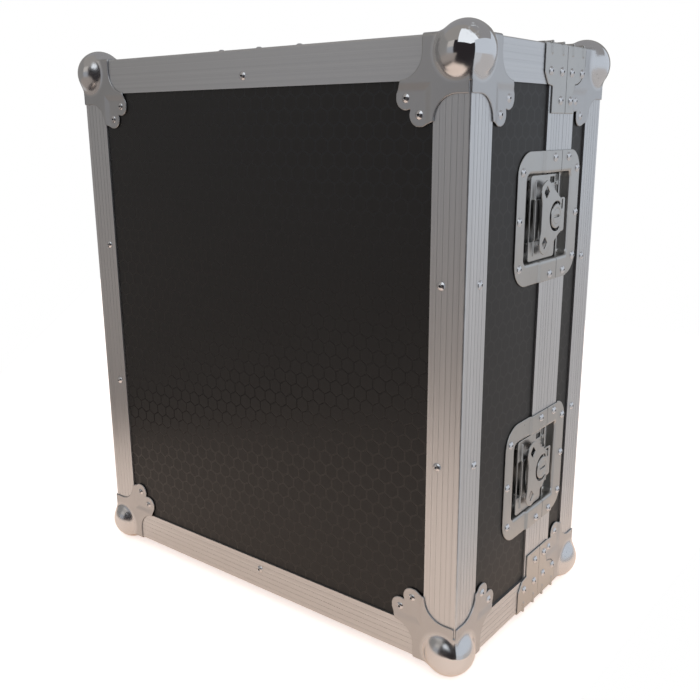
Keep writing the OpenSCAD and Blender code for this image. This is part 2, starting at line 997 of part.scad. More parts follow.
// One leaf with its knuckles, with x towards the lid and z out of the face
module hinge_leaf(side) {
    notch = hinge_knuckle_r + run;
    color(steel)
        difference() {
            union() {
                translate([side > 0 ? split_gap / 2 : -hinge_leaf_w, -hinge_h / 2, 0])
                    cube([hinge_leaf_w - split_gap / 2, hinge_h, hinge_leaf_t]);
                for (i = [0 : hinge_knuckles - 1])
                    if ((i % 2 == 0) == (side < 0))
                        translate([0, -hinge_h / 2 + i * hinge_pitch + fit / 2, pin_out])
                            rotate([-90, 0, 0])
                                cylinder(r = hinge_knuckle_r, h = hinge_pitch - fit);
            }
            for (i = [0 : hinge_knuckles - 1])
                if ((i % 2 == 0) != (side < 0))
                    translate([-notch, -hinge_h / 2 + i * hinge_pitch - fit / 2, -over])
                        cube([2 * notch, hinge_pitch + fit, over + hinge_leaf_t + over]);
            translate([0, -hinge_h / 2 - over, pin_out])
                rotate([-90, 0, 0])
                    cylinder(r = pin_r + pin_fit, h = hinge_h + 2 * over);
            for (share = hinge_rivet_share)
                translate([side * hinge_rivet_x, share * hinge_h, -over])
                    cylinder(r = shank_r + shank_fit, h = hinge_leaf_t + 2 * over);
        }
}

module hinge_leaves(side) {
    for (z = [upper_z, lower_z])
        on_hinge_side(z)
            hinge_leaf(side);
}

module hinge_rivets(side) {
    for (z = [upper_z, lower_z])
        on_hinge_side(z)
            for (share = hinge_rivet_share)
                translate([side * hinge_rivet_x, share * hinge_h, hinge_leaf_t])
                    rivet(hinge_leaf_t);
}

module hinge_pins() {
    color(chrome)
        for (z = [upper_z, lower_z])
            on_hinge_side(z)
                translate([0, 0, pin_out])
                    rotate([-90, 0, 0]) {
                        translate([0, 0, -hinge_h / 2])
                            cylinder(r = pin_r, h = hinge_h);
                        for (s = [-1, 1])
                            translate([0, 0, s * (hinge_h + pin_head_h) / 2])
                                cylinder(r = pin_head_r, h = pin_head_h, center = true);
                    }
}

// Handle

// Radius of the handle dish's corners
grip_round = 12;
// Distance of the handle dish from the frame's leg
grip_gap = 1.5;
// Width of the dish's rim in front of the recess and behind it
grip_front_rim = 26;
grip_back_rim = 15;
// Distance of the bail's pivot behind the recess's front wall, and its height
pivot_in = 9;
pivot_z = -9;
// Distance of the grip from the recess's back wall
grip_back_gap = 5;
// Distance of the bail's arms from the ends of the recess
arm_in = 10;
// Distance of the dish's outer rivets from its middle
grip_row = 44;
// Distance of the dish's end rivets from its ends
grip_end_in = 6.3;

grip_dish_d = base_d - grip_dish_in - base_leg_w - grip_gap;
grip_mid = grip_dish_in + grip_dish_d / 2;
grip_front = rivet_in - grip_dish_in;
grip_open_w = grip_dish_w - 2 * grip_side_rim;
// Half the depth of the recess, and its middle from the base's big face
grip_open_half = (grip_dish_d - grip_front_rim - grip_back_rim) / 2;
grip_open_mid = grip_dish_in + grip_front_rim + grip_open_half;
pivot_y = grip_open_mid - grip_open_half + pivot_in;
// Distance from the bail's pivot to its grip
bail_l = 2 * grip_open_half - pivot_in - grip_r - grip_back_gap;
arm_x = grip_open_w / 2 - arm_in;
// Half the length of the bail's axle
axle_half = grip_open_w / 2 + 2 * sheet_t;

// Rivet places of the handle dish, from the dish's middle
grip_rivets = [
    [0, grip_front - grip_dish_d / 2], [grip_row, grip_front - grip_dish_d / 2],
    [-grip_row, grip_front - grip_dish_d / 2],
    [0, grip_dish_d / 2 - grip_front], [grip_row, grip_dish_d / 2 - grip_front],
    [-grip_row, grip_dish_d / 2 - grip_front],
    [grip_dish_w / 2 - grip_end_in, 0], [grip_end_in - grip_dish_w / 2, 0]
];

// Places a piece drawn with y from the base's big face and z above the case top
module on_handle() {
    translate([0, -case_d / 2, ball_out + case_h])
        children();
}

module round_outline(width, depth, round) {
    square([width - 2 * round, depth], center = true);
    square([width, depth - 2 * round], center = true);
    for (sx = [-1, 1], sy = [-1, 1])
        translate([sx * (width / 2 - round), sy * (depth / 2 - round)])
            circle(round);
}

// Drills for the handle's front row of rivets, from the case edge inwards
module handle_holes(depth) {
    for (p = grip_rivets)
        if (grip_mid + p[1] < flange_w)
            translate([p[0], grip_mid + p[1], -depth])
                cylinder(r = shank_r + shank_fit, h = depth + over);
}

// Outer body of the handle's tray
module handle_tray_block(grow) {
    translate([0, grip_open_mid, -grip_recess - sheet_t - grow])
        linear_extrude(grip_recess + sheet_t + grow)
            round_outline(
                grip_open_w + 2 * sheet_t + 2 * grow,
                2 * grip_open_half + 2 * sheet_t + 2 * grow,
                open_round + sheet_t
            );
}

// Room in the panel for the ends of the bail's axle
module axle_room() {
    translate([0, pivot_y, pivot_z])
        cube([2 * axle_half + 2 * run, 2 * bail_r + 2 * run, 2 * over - 2 * pivot_z], center = true);
}

module handle_dish() {
    color(steel)
        on_handle()
            difference() {
                union() {
                    translate([0, grip_mid, -flange_t])
                        linear_extrude(flange_t + sheet_t)
                            round_outline(grip_dish_w, grip_dish_d, grip_round);
                    handle_tray_block(0);
                }
                translate([-grip_dish_w, 0, -flange_t - over])
                    cube([2 * grip_dish_w, step, flange_t + over]);
                translate([-grip_dish_w, step + sheet_t, sheet_t - flange_t])
                    cube([2 * grip_dish_w, case_d, flange_t + over]);
                translate([0, grip_open_mid, -grip_recess])
                    linear_extrude(grip_recess + flange_t + over)
                        round_outline(grip_open_w, 2 * grip_open_half, open_round);
                for (p = grip_rivets)
                    translate([p[0], grip_mid + p[1], -flange_t - over])
                        cylinder(r = shank_r + shank_fit, h = 2 * flange_t + 2 * over);
                translate([0, pivot_y, pivot_z])
                    rotate([0, 90, 0])
                        cylinder(r = bail_r + pin_fit, h = 2 * grip_open_w, center = true);
            }
}

module handle_rivets() {
    color(chrome)
        on_handle()
            for (p = grip_rivets)
                translate([p[0], grip_mid + p[1], grip_mid + p[1] > flange_w ? sheet_t - flange_t : sheet_t])
                    rivet(sheet_t);
}

module handle_bail() {
    color(steel)
        on_handle()
            translate([0, pivot_y, pivot_z]) {
                for (s = [-1, 1]) {
                    translate([s * arm_x, 0, 0])
                        rotate([-90, 0, 0])
                            cylinder(r = bail_r, h = bail_l);
                    translate([s * arm_x, 0, 0])
                        sphere(bail_r);
                    translate([s * arm_x, bail_l, 0])
                        sphere(bail_r);
                    translate([s * (arm_x + axle_half) / 2, 0, 0])
                        rotate([0, 90, 0])
                            cylinder(r = bail_r, h = axle_half - arm_x, center = true);
                }
                translate([0, bail_l, 0])
                    rotate([0, 90, 0])
                        cylinder(r = bail_r, h = 2 * arm_x, center = true);
            }
}

module handle_grip() {
    length = 2 * (arm_x - bail_r - 2 * fit);
    color(rubber_black)
        on_handle()
            translate([0, pivot_y + bail_l, pivot_z])
                rotate([0, 90, 0])
                    difference() {
                        cylinder(r = grip_r, h = length, center = true);
                        cylinder(r = bail_r + pin_fit, h = length + 2 * over, center = true);
                    }
}

// Torsion springs round the bail's pivots
spring_wire_r = 0.6;
spring_turns = 3;
// Number of flat rings in one turn and of sides round the wire
spring_rings = 8;
spring_sides = 6;
// Distance from one turn of the wire to the next
spring_pitch = 1.7;
spring_r = bail_r + spring_wire_r + fit;
spring_room = grip_open_w / 2 - arm_x - bail_r;

// Centre of the wire at a share of the winding
function spring_at(t) = [
    spring_pitch * spring_turns * (t - 0.5),
    spring_r * cos(360 * spring_turns * t),
    spring_r * sin(360 * spring_turns * t)
];

// A point on the wire's skin
function spring_skin(t, a) = spring_at(t) + spring_wire_r * [
    sin(a),
    cos(a) * cos(360 * spring_turns * t),
    cos(a) * sin(360 * spring_turns * t)
];

// Least gap of the wire to itself, measured between centre points half a turn
// or more apart
spring_steps = spring_turns * spring_rings;
spring_gap = min([
    for (i = [0 : spring_steps - spring_rings / 2], j = [i + spring_rings / 2 : spring_steps])
        norm(spring_at(i / spring_steps) - spring_at(j / spring_steps))
]) - 2 * spring_wire_r;
echo(spring_gap = spring_gap);

module spring_coil() {
    rings = spring_steps;
    points = [
        for (i = [0 : rings], j = [0 : spring_sides - 1])
            spring_skin(i / rings, 360 * j / spring_sides)
    ];
    sides = [
        for (i = [0 : rings - 1], j = [0 : spring_sides - 1])
            let (k = (j + 1) % spring_sides, a = i * spring_sides, b = a + spring_sides)
                each [[a + j, a + k, b + k], [a + j, b + k, b + j]]
    ];
    last = rings * spring_sides;
    caps = [
        for (j = [1 : spring_sides - 2])
            each [[0, j + 1, j], [last, last + j, last + j + 1]]
    ];
    polyhedron(points, concat(sides, caps));
}

module handle_springs() {
    color(steel)
        on_handle()
            for (s = [-1, 1])
                translate([s * (arm_x + bail_r + spring_room / 2), pivot_y, pivot_z])
                    spring_coil();
}

// Lining

lining_x = case_w / 2 - lining_at;
lining_z = case_h / 2 - lining_at;
// Places of the wall foam's inner faces
inner_x = lining_x - foam_t;
inner_z = lining_z - foam_t;

module foam_box(from, to) {
    translate(from)
        cube(to - from);
}

module base_floor_foam() {
    y0 = -case_d / 2 + lining_at;
    color(foam_grey)
        foam_box(
            [fit - inner_x, y0, mid_z - inner_z + fit],
            [inner_x - fit, y0 + foam_t, mid_z + inner_z - fit]
        );
}

// Foam on the four walls: plain at the bottom and the hinge side, and cut into
// blocks round the trays at the top and the latch side
module base_wall_foam() {
    y0 = -case_d / 2 + lining_at;
    y1 = split_y - base_web;
    color(foam_grey) {
        foam_box([-lining_x, y0, mid_z - lining_z], [lining_x, y1, mid_z - inner_z]);
        foam_box([-lining_x, y0, mid_z - inner_z + fit], [-inner_x, y1, mid_z + inner_z - fit]);
        top_foam(y0, y1);
        latch_side_foam(y0, y1);
    }
}

// Foam round the handle's tray, with a thin pad under it
module top_foam(y0, y1) {
    low = mid_z + inner_z;
    high = mid_z + lining_z;
    pad_high = mid_z + case_h / 2 - grip_recess - sheet_t - fit;
    side = axle_half + run;
    front = grip_open_mid - grip_open_half - sheet_t - fit - case_d / 2;
    back = grip_open_mid + grip_open_half + sheet_t + fit - case_d / 2;
    foam_box([-lining_x, y0, low], [-side, y1, high]);
    foam_box([side, y0, low], [lining_x, y1, high]);
    foam_box([fit - side, y0, low], [side - fit, front, high]);
    foam_box([fit - side, back, low], [side - fit, y1, high]);
    foam_box([fit - side, front + fit, low], [side - fit, back - fit, pad_high]);
}

// Foam between the latch trays, with thinner pads behind them
module latch_side_foam(y0, y1) {
    behind = case_w / 2 - recess_base - sheet_t - fit;
    back = split_y - open_base_w - sheet_t - fit;
    half = open_half + sheet_t + fit;
    foam_box([inner_x, y0, mid_z - inner_z + fit], [lining_x, y1, lower_z - half]);
    foam_box([inner_x, y0, lower_z + half], [lining_x, y1, upper_z - half]);
    foam_box([inner_x, y0, upper_z + half], [lining_x, y1, mid_z + inner_z - fit]);
    for (z = [upper_z, lower_z]) {
        foam_box([inner_x, y0, z - half + fit], [lining_x, back, z + half - fit]);
        foam_box([inner_x, back + fit, z - half + fit], [behind, y1, z + half - fit]);
    }
}

module lid_foam() {
    y1 = case_d / 2 - lining_at;
    color(foam_grey)
        foam_box([-lining_x, y1 - foam_t, mid_z - lining_z], [lining_x, y1, mid_z + lining_z]);
}

// Groups

module base_edge_rivets() {
    color(chrome) {
        edge_rivets(-1);
        hinge_rivets(-1);
    }
}

module base_corner_rivets() {
    color(chrome)
        corner_rivets(-1);
}

module base_latch_rivets() {
    color(chrome)
        for (z = [upper_z, lower_z])
            on_latch_side(z)
                dish_rivets(base_dish_rivets, base_leg_w);
}

module lid_rivets() {
    color(chrome) {
        edge_rivets(1);
        corner_rivets(1);
        hinge_rivets(1);
        for (z = [upper_z, lower_z])
            on_latch_side(z)
                dish_rivets(lid_dish_rivets, lid_leg_w);
    }
}

big_panel(-1);  // base_big_panel
base_top_panel();
end_panel(-1, -1);  // base_bottom_panel
latch_side_panel(-1);  // base_latch_side_panel
side_panel(-1, -1);  // base_hinge_side_panel
upright_edges(-1);  // base_upright_edges
cross_edges(-1);  // base_cross_edges
depth_edges(-1);  // base_depth_edges
upright_frame(-1);  // base_upright_tongues
cross_frame(-1);  // base_cross_tongues
at_corner(1, -1, 1) ball_corner();  // base_ball_top_latch
at_corner(-1, -1, 1) ball_corner();  // base_ball_top_hinge
at_corner(1, -1, -1) ball_corner();  // base_ball_bottom_latch
at_corner(-1, -1, -1) ball_corner();  // base_ball_bottom_hinge
braces(-1);  // base_braces
base_edge_rivets();
base_corner_rivets();
base_floor_foam();
base_wall_foam();
handle_dish();
handle_bail();
handle_grip();
handle_springs();
handle_rivets();
on_latch_side(upper_z) base_dish();  // upper_latch_dish
at_hub(upper_z) carrier();  // upper_latch_carrier
at_hub(upper_z) hub();  // upper_latch_hub
at_hub(upper_z) hook();  // upper_latch_hook
at_hub(upper_z) wing();  // upper_latch_wing
at_hub(upper_z) wing_pin();  // upper_latch_pin
on_latch_side(lower_z) base_dish();  // lower_latch_dish
at_hub(lower_z) carrier();  // lower_latch_carrier
at_hub(lower_z) hub();  // lower_latch_hub
at_hub(lower_z) hook();  // lower_latch_hook
at_hub(lower_z) wing();  // lower_latch_wing
at_hub(lower_z) wing_pin();  // lower_latch_pin
base_latch_rivets();
hinge_leaves(-1);  // hinge_base_leaves
hinge_pins();
big_panel(1);  // lid_big_panel
end_panel(1, 1);  // lid_top_panel
end_panel(1, -1);  // lid_bottom_panel
latch_side_panel(1);  // lid_latch_side_panel
side_panel(1, -1);  // lid_hinge_side_panel
upright_edges(1);  // lid_upright_edges
cross_edges(1);  // lid_cross_edges
depth_edges(1);  // lid_depth_edges
upright_frame(1);  // lid_upright_grooves
cross_frame(1);  // lid_cross_grooves
at_corner(1, 1, 1) ball_corner();  // lid_ball_top_latch
at_corner(-1, 1, 1) ball_corner();  // lid_ball_top_hinge
at_corner(1, 1, -1) ball_corner();  // lid_ball_bottom_latch
at_corner(-1, 1, -1) ball_corner();  // lid_ball_bottom_hinge
braces(1);  // lid_braces
lid_rivets();
lid_foam();
on_latch_side(upper_z) lid_dish();  // upper_latch_lid_dish
on_latch_side(lower_z) lid_dish();  // lower_latch_lid_dish
hinge_leaves(1);  // hinge_lid_leaves
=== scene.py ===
# %% [markdown]
# A flight case for a small mixer, standing on its short edge.
# The construction comes in as a fixed frame of solids, one for each kind of piece.
# This lesson dresses it: it gives every surface its finish, and it models again, as
# fine meshes, the pieces whose soft pressed shapes matter in a close view.
# Blender counts in metres. A short length in a finish or a place is written as a
# number of millimetres times mm, and the pressed shapes are written in millimetres.

# %% Load the frame
import math
import bmesh
import bpy
import numpy as np
from mathutils import Matrix, Vector


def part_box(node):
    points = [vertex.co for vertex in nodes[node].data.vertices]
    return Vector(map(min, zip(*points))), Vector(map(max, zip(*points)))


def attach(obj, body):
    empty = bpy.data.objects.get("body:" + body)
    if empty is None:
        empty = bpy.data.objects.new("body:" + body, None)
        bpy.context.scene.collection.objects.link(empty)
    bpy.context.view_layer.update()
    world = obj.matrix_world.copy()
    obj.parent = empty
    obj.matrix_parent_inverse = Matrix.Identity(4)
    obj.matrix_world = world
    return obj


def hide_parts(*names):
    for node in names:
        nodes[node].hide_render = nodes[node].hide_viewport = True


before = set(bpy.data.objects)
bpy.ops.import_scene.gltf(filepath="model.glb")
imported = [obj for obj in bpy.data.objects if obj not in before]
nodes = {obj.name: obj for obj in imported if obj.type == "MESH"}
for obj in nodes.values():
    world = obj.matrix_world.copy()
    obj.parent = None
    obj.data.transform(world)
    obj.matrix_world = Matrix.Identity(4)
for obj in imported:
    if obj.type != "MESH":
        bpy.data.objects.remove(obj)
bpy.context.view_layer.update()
scene = bpy.context.scene
scene.view_settings.view_transform = "Standard"
mm = 0.001

# %% [markdown]
# Every place below is worked out from the case's own outer box. The edge extrusions
# give it: the upright ones reach the sides, and the cross ones reach top and bottom.

# %% Measure the case
edge_low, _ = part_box("base_upright_edges")
_, edge_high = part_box("lid_upright_edges")
cross_low, cross_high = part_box("base_cross_edges")
case_low = Vector((edge_low.x, edge_low.y, cross_low.z))
case_high = Vector((edge_high.x, edge_high.y, cross_high.z))
case_mid = (case_low + case_high) / 2
case_size = case_high - case_low
split_gap = 0.4
split_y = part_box("lid_upright_grooves")[0].y - split_gap / 2 * mm
print("case in mm:", [round(v / mm, 1) for v in case_size], "split at", round(split_y / mm, 2))

# %% [markdown]
# Pressed steel has no sharp corners: where a sheet is bent or drawn, the bend is
# round, and where two forms meet, they flow into each other. Such a shape could be
# built by hand with many loops of edges, or with sharp plates and bevels. Here it is
# written as a distance field instead: a function that is below zero inside the metal
# and above zero outside. Two forms are joined with a soft minimum, which leaves a
# round hollow between them, and that is just what a press leaves.

# %% Forms as distance fields
def soft_min(a, b, radius):
    h = np.clip(0.5 + 0.5 * (b - a) / radius, 0, 1)
    return b + (a - b) * h - radius * h * (1 - h)


def soft_max(a, b, radius):
    return -soft_min(-a, -b, radius)


def disc_2d(x, y, cx, cy, r):
    return np.hypot(x - cx, y - cy) - r


def box_2d(x, y, x0, x1, y0, y1, r=0.0):
    dx = np.abs(x - (x0 + x1) / 2) - (x1 - x0) / 2 + r
    dy = np.abs(y - (y0 + y1) / 2) - (y1 - y0) / 2 + r
    return np.hypot(np.maximum(dx, 0), np.maximum(dy, 0)) + np.minimum(np.maximum(dx, dy), 0) - r


def polygon_2d(x, y, corners):
    """Distance to a closed outline of straight sides, below zero inside it."""
    nearest = np.full(np.shape(x), np.inf)
    inside = np.zeros(np.shape(x), bool)
    for (ax, ay), (bx, by) in zip(corners, corners[1:] + corners[:1]):
        ex, ey = bx - ax, by - ay
        px, py = x - ax, y - ay
        t = np.clip((px * ex + py * ey) / (ex * ex + ey * ey), 0, 1)
        nearest = np.minimum(nearest, np.hypot(px - ex * t, py - ey * t))
        crosses = (ay > y) != (by > y)
        if ey:
            inside ^= crosses & (x < ax + (y - ay) * ex / ey)
    return np.where(inside, -nearest, nearest)


print("a point 5 from the middle of a disc of radius 3 is", disc_2d(5, 0, 0, 0, 3), "outside it")

# %% [markdown]
# A distance field has no mesh yet. The next helper lays a grid of points over it,
# puts one vertex in each cell that the surface passes through, and joins the four
# cells round each crossing edge with a face. This is the way of surface nets. Its faces
# are even squares, which thin out well afterwards. Marching cubes, the better known
# way, gives many long thin triangles.

# %% Find the surface of a field
def field_grid(field, low, high, cell):
    counts = [int(math.ceil((h - l) / cell)) + 1 for l, h in zip(low, high)]
    axes = [low[i] + cell * np.arange(counts[i]) for i in range(3)]
    grid = np.stack(np.meshgrid(*axes, indexing="ij"), -1).reshape(-1, 3)
    return field(grid).reshape(counts)


def surface_nets(values, low, cell):
    """Vertices and faces of the zero surface of a grid of values."""
    inside = values < 0
    shape = tuple(n - 1 for n in values.shape)
    total, hits = np.zeros(shape + (3,)), np.zeros(shape)
    corner = [(i, j, k) for i in (0, 1) for j in (0, 1) for k in (0, 1)]

    def part(array, c):
        return array[c[0]:c[0] + shape[0], c[1]:c[1] + shape[1], c[2]:c[2] + shape[2]]

    # where the edges of each cell cross the surface, added up
    for a in corner:
        for axis in range(3):
            if a[axis] == 0:
                b = tuple(1 if i == axis else a[i] for i in range(3))
                va, vb = part(values, a), part(values, b)
                cross = part(inside, a) != part(inside, b)
                share = np.where(cross, va / np.where(cross, va - vb, 1), 0)
                for i in range(3):
                    total[..., i] += cross * (a[i] + (share if i == axis else 0))
                hits += cross
    # one vertex in each cell that is crossed, in the middle of its crossings
    used = hits > 0
    number = np.full(shape, -1)
    number[used] = np.arange(used.sum())
    place = np.argwhere(used) + total[used] / hits[used][:, None]
    verts = np.array(low) + cell * place
    # one face for each crossed edge of the grid, between the four cells round it
    faces = []
    for axis in range(3):
        u, v = [i for i in range(3) if i != axis]
        near_end, far_end = [slice(1, -1)] * 3, [slice(1, -1)] * 3
        near_end[axis], far_end[axis] = slice(0, -1), slice(1, None)
        start, end = inside[tuple(near_end)], inside[tuple(far_end)]
        at = np.argwhere(start != end)
        for i in (u, v):
            at[:, i] += 1
        flip = start[start != end]
        ring = []
        for du, dv in ((-1, -1), (0, -1), (0, 0), (-1, 0)):
            q = at.copy()
            q[:, u] += du
            q[:, v] += dv
            ring.append(number[q[:, 0], q[:, 1], q[:, 2]])
        quad = np.stack(ring, 1)
        if axis == 1:
            flip = ~flip
        quad[~flip] = quad[~flip][:, ::-1]
        faces.append(quad)
    return verts, np.concatenate(faces)


trial_low, trial_high = (-6, -6, -6), (6, 6, 6)
trial_ball = field_grid(lambda p: np.linalg.norm(p, axis=1) - 5, trial_low, trial_high, 1.0)
print("a ball of radius 5 in cells of 1 has", len(surface_nets(trial_ball, trial_low, 1.0)[1]), "faces")

# %% [markdown]
# Blender's Decimate thins out the flat places first, where small faces have no use.
# It leaves each vertex a little off the surface. So the vertices then slide along the
# field's slope until they lie on it. The slope there is also the vertex's normal, so a
# large flat face and a tight bend both shade as they should.

# %% Thin the mesh and slide it onto the surface
slide_steps, least_slope, tiny = 3, 0.05, 1e-9


def slope_of(field, points, step):
    slope = np.empty_like(points)
    for axis in range(3):
        shift = np.zeros(3)
        shift[axis] = step
        slope[:, axis] = (field(points + shift) - field(points - shift)) / (2 * step)
    return slope


def skin(name, field, low, high, cell, keep):
    """Mesh of a field written in millimetres, thinned to a share of its faces."""
    verts, faces = surface_nets(field_grid(field, low, high, cell), low, cell)
    mesh = bpy.data.meshes.new(name)
    mesh.from_pydata(verts.tolist(), [], faces.tolist())
    # Decimate works on an object, so the mesh gets one for a moment
    thin = bpy.data.objects.new(name + "_thin", mesh)
    scene.collection.objects.link(thin)
    modifier = thin.modifiers.new("thin", "DECIMATE")
    modifier.ratio = keep
    modifier.use_collapse_triangulate = True
    thinned = thin.evaluated_get(bpy.context.evaluated_depsgraph_get())
    mesh = bpy.data.meshes.new_from_object(thinned)
    bpy.data.objects.remove(thin)
    mesh.name = name
    points = np.empty(len(mesh.vertices) * 3)
    mesh.vertices.foreach_get("co", points)
    points = points.reshape(-1, 3)
    # each vertex slides along the slope by as much as the field says, a few times
    step = cell / 8
    for _ in range(slide_steps):
        slope = slope_of(field, points, step)
        size = np.maximum((slope ** 2).sum(1), least_slope)
        move = field(points)[:, None] * slope / size[:, None]
        points -= np.clip(move, -cell / 2, cell / 2)
    slope = slope_of(field, points, step)
    slope /= np.maximum(np.linalg.norm(slope, axis=1), tiny)[:, None]
    faces = np.empty(len(mesh.polygons) * 3, int)
    mesh.polygons.foreach_get("vertices", faces)
    print(name, "faces:", len(mesh.polygons))
    return points, faces.reshape(-1, 3), slope


print("each pressed piece slides onto its field in", slide_steps, "steps")

# %% [markdown]
# A piece is drawn once, in its own millimetres, and set in its places with matrices.
# A mirrored place turns the faces inside out, so there they are turned back. All the
# places of one kind of piece are joined into one object. An object for each place
# would do as well, but the rivets alone would then be more than a hundred.

# %% Set a drawn piece in its places
def rigid(matrix):
    return np.array(matrix.to_3x3()), np.array(matrix.translation)


def join_drawn(drawn, matrices):
    """One drawn piece at all its places, as vertices, faces and normals in metres."""
    verts, faces, normals = drawn
    all_verts, all_faces, all_normals = [], [], []
    for count, matrix in enumerate(matrices):
        turn, move = rigid(matrix)
        all_verts.append(verts * mm @ turn.T + move)
        all_normals.append(normals @ turn.T)
        face = faces[:, ::-1] if np.linalg.det(turn) < 0 else faces
        all_faces.append(face + count * len(verts))
    return np.concatenate(all_verts), np.concatenate(all_faces), np.concatenate(all_normals)


def make_piece(name, verts, faces, normals, body, slot, materials, replaces, finish=None):
    """A piece from vertices, faces and normals. finish tells each face's material."""
    mesh = bpy.data.meshes.new(name)
    mesh.from_pydata(verts.tolist(), [], faces.tolist())
    for material in materials:
        mesh.materials.append(material)
    if finish is not None:
        mesh.polygons.foreach_set("material_index", finish)
    mesh.shade_smooth()
    mesh.normals_split_custom_set_from_vertices(normals.tolist())
    piece = bpy.data.objects.new(name, mesh)
    scene.collection.objects.link(piece)
    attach(piece, body)
    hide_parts(*replaces)


def place_drawn(name, drawn, matrices, body, slot, material, replaces):
    make_piece(name, *join_drawn(drawn, matrices), body, slot, [material], replaces)


def at_corner(sx, sy, sz):
    """From a case corner's own axes, with the case towards plus, to the case."""
    signs = (sx, sy, sz)
    corner = Vector([(low, high)[s > 0] for low, high, s in zip(case_low, case_high, signs)])
    return Matrix.Translation(corner) @ Matrix.Diagonal((-sx, -sy, -sz, 1))


lid_corner = at_corner(1, 1, 1).translation
print("the lid's upper corner on the latch side in mm:", [round(v / mm, 1) for v in lid_corner])

# %% [markdown]
# Finishes come next. Each is a small graph of nodes on the Principled shader. Two
# helpers keep the graphs short: one adds a node with its settings, the other wires a
# run of mathematics.

# %% Node helpers
def add_node(tree, kind, inputs=(), **settings):
    node = tree.nodes.new("ShaderNode" + kind)
    for key, value in settings.items():
        setattr(node, key, value)
    for key, value in dict(inputs).items():
        if isinstance(value, bpy.types.NodeSocket):
            tree.links.new(value, node.inputs[key])
        else:
            node.inputs[key].default_value = value
    return node


def math_node(tree, operation, *values):
    return add_node(tree, "Math", dict(enumerate(values)), operation=operation).outputs[0]


def vector_node(tree, operation, *values):
    node = add_node(tree, "VectorMath", dict(enumerate(values)), operation=operation)
    return node.outputs["Value" if operation in ("DOT_PRODUCT", "LENGTH") else "Vector"]


def blend_node(tree, share, a, b):
    """Colour a where share is 0 and colour b where it is 1."""
    node = add_node(tree, "Mix", {0: share, 6: a, 7: b}, data_type="RGBA")
    return node.outputs[2]


def ramp_node(tree, value, low, high, to_low=0.0, to_high=1.0):
    """A value between two limits, spread over another span and held there outside them."""
    node = add_node(tree, "MapRange", {0: value, 1: low, 2: high, 3: to_low, 4: to_high})
    return node.outputs[0]


def noise_node(tree, place, scale, detail, roughness=0.5):
    node = add_node(tree, "TexNoise", {"Vector": place, "Scale": scale, "Detail": detail,
                                       "Roughness": roughness})
    return node.outputs["Fac"]


def finish_of(name):
    """An empty finish: its material, its node tree, its shader and its place in metres."""
    material = bpy.data.materials.new(name)
    material.use_nodes = True
    tree = material.node_tree
    shader = tree.nodes["Principled BSDF"]
    place = add_node(tree, "TexCoord").outputs["Object"]
    return material, tree, shader, place


def connect(tree, shader, **sockets):
    """Wires or sets the shader's sockets, which are written as base_color for Base Color."""
    for key, value in sockets.items():
        name = key.replace("_", " ").title().replace("Ior", "IOR")
        if isinstance(value, bpy.types.NodeSocket):
            tree.links.new(value, shader.inputs[name])
        else:
            shader.inputs[name].default_value = value


def bump_node(tree, height, strength, distance):
    node = add_node(tree, "Bump", {"Height": height, "Strength": strength, "Distance": distance})
    return node.outputs["Normal"]


print("node helpers ready")

# %% [markdown]
# The panels are plywood faced with a black film. A press has left honeycomb in it:
# hexagons about 12 mm apart, satin, with narrow smoother lines between them. The
# lines hardly show in dull places and light up where the panel mirrors something
# bright. So the pattern isn't a colour. It changes how rough the film is, and a
# little how high. On the side panels the lines are fainter, so they get a finish of
# their own. A few pale specks of dust lie on both.
# A picture of hexagons would need UV maps and would blur from near. Nodes need neither
# and stay sharp.
# A grid of hexagons is two grids of oblongs, one in the gaps of the other. For each
# point the nearer centre of the two is its cell, and the distance to the cell's side
# comes from three directions.

# %% Honeycomb
hexagon_pitch = 12.4 * mm
line_from, line_full = 0.42, 0.46


def honeycomb(tree, flat):
    """1 on the lines between the hexagons and 0 inside, over a flat place vector."""
    half = (0.5, math.sqrt(3) / 2, 0.5)
    low = tuple(-v for v in half)
    # one hexagon's centre is 1 from the next here, so the side between them is at 0.5
    cells = vector_node(tree, "SCALE", flat)
    cells.node.inputs["Scale"].default_value = 1 / hexagon_pitch
    first = vector_node(tree, "WRAP", cells, half, low)
    second = vector_node(tree, "WRAP", vector_node(tree, "ADD", cells, half), half, low)
    flat_first = vector_node(tree, "MULTIPLY", first, (1, 1, 0))
    flat_second = vector_node(tree, "MULTIPLY", second, (1, 1, 0))
    nearer = math_node(tree, "LESS_THAN", vector_node(tree, "LENGTH", flat_second),
                       vector_node(tree, "LENGTH", flat_first))
    pick = add_node(tree, "Mix", {0: nearer, 4: flat_first, 5: flat_second}, data_type="VECTOR")
    away = vector_node(tree, "ABSOLUTE", pick.outputs[1])
    slant = vector_node(tree, "DOT_PRODUCT", away, (0.5, math.sqrt(3) / 2, 0))
    straight = add_node(tree, "SeparateXYZ", {0: away}).outputs[0]
    return ramp_node(tree, math_node(tree, "MAXIMUM", slant, straight), line_from, line_full)


print("hexagons are", hexagon_pitch / mm, "mm apart")

# %% [markdown]
# A pattern without a UV map has to know on which face of the case it is. The next
# helper looks at the surface's own direction and drops the axis that points out of
# it. The film then gets its lines, a cloudy tone, a grain, some scuffs and the dust.

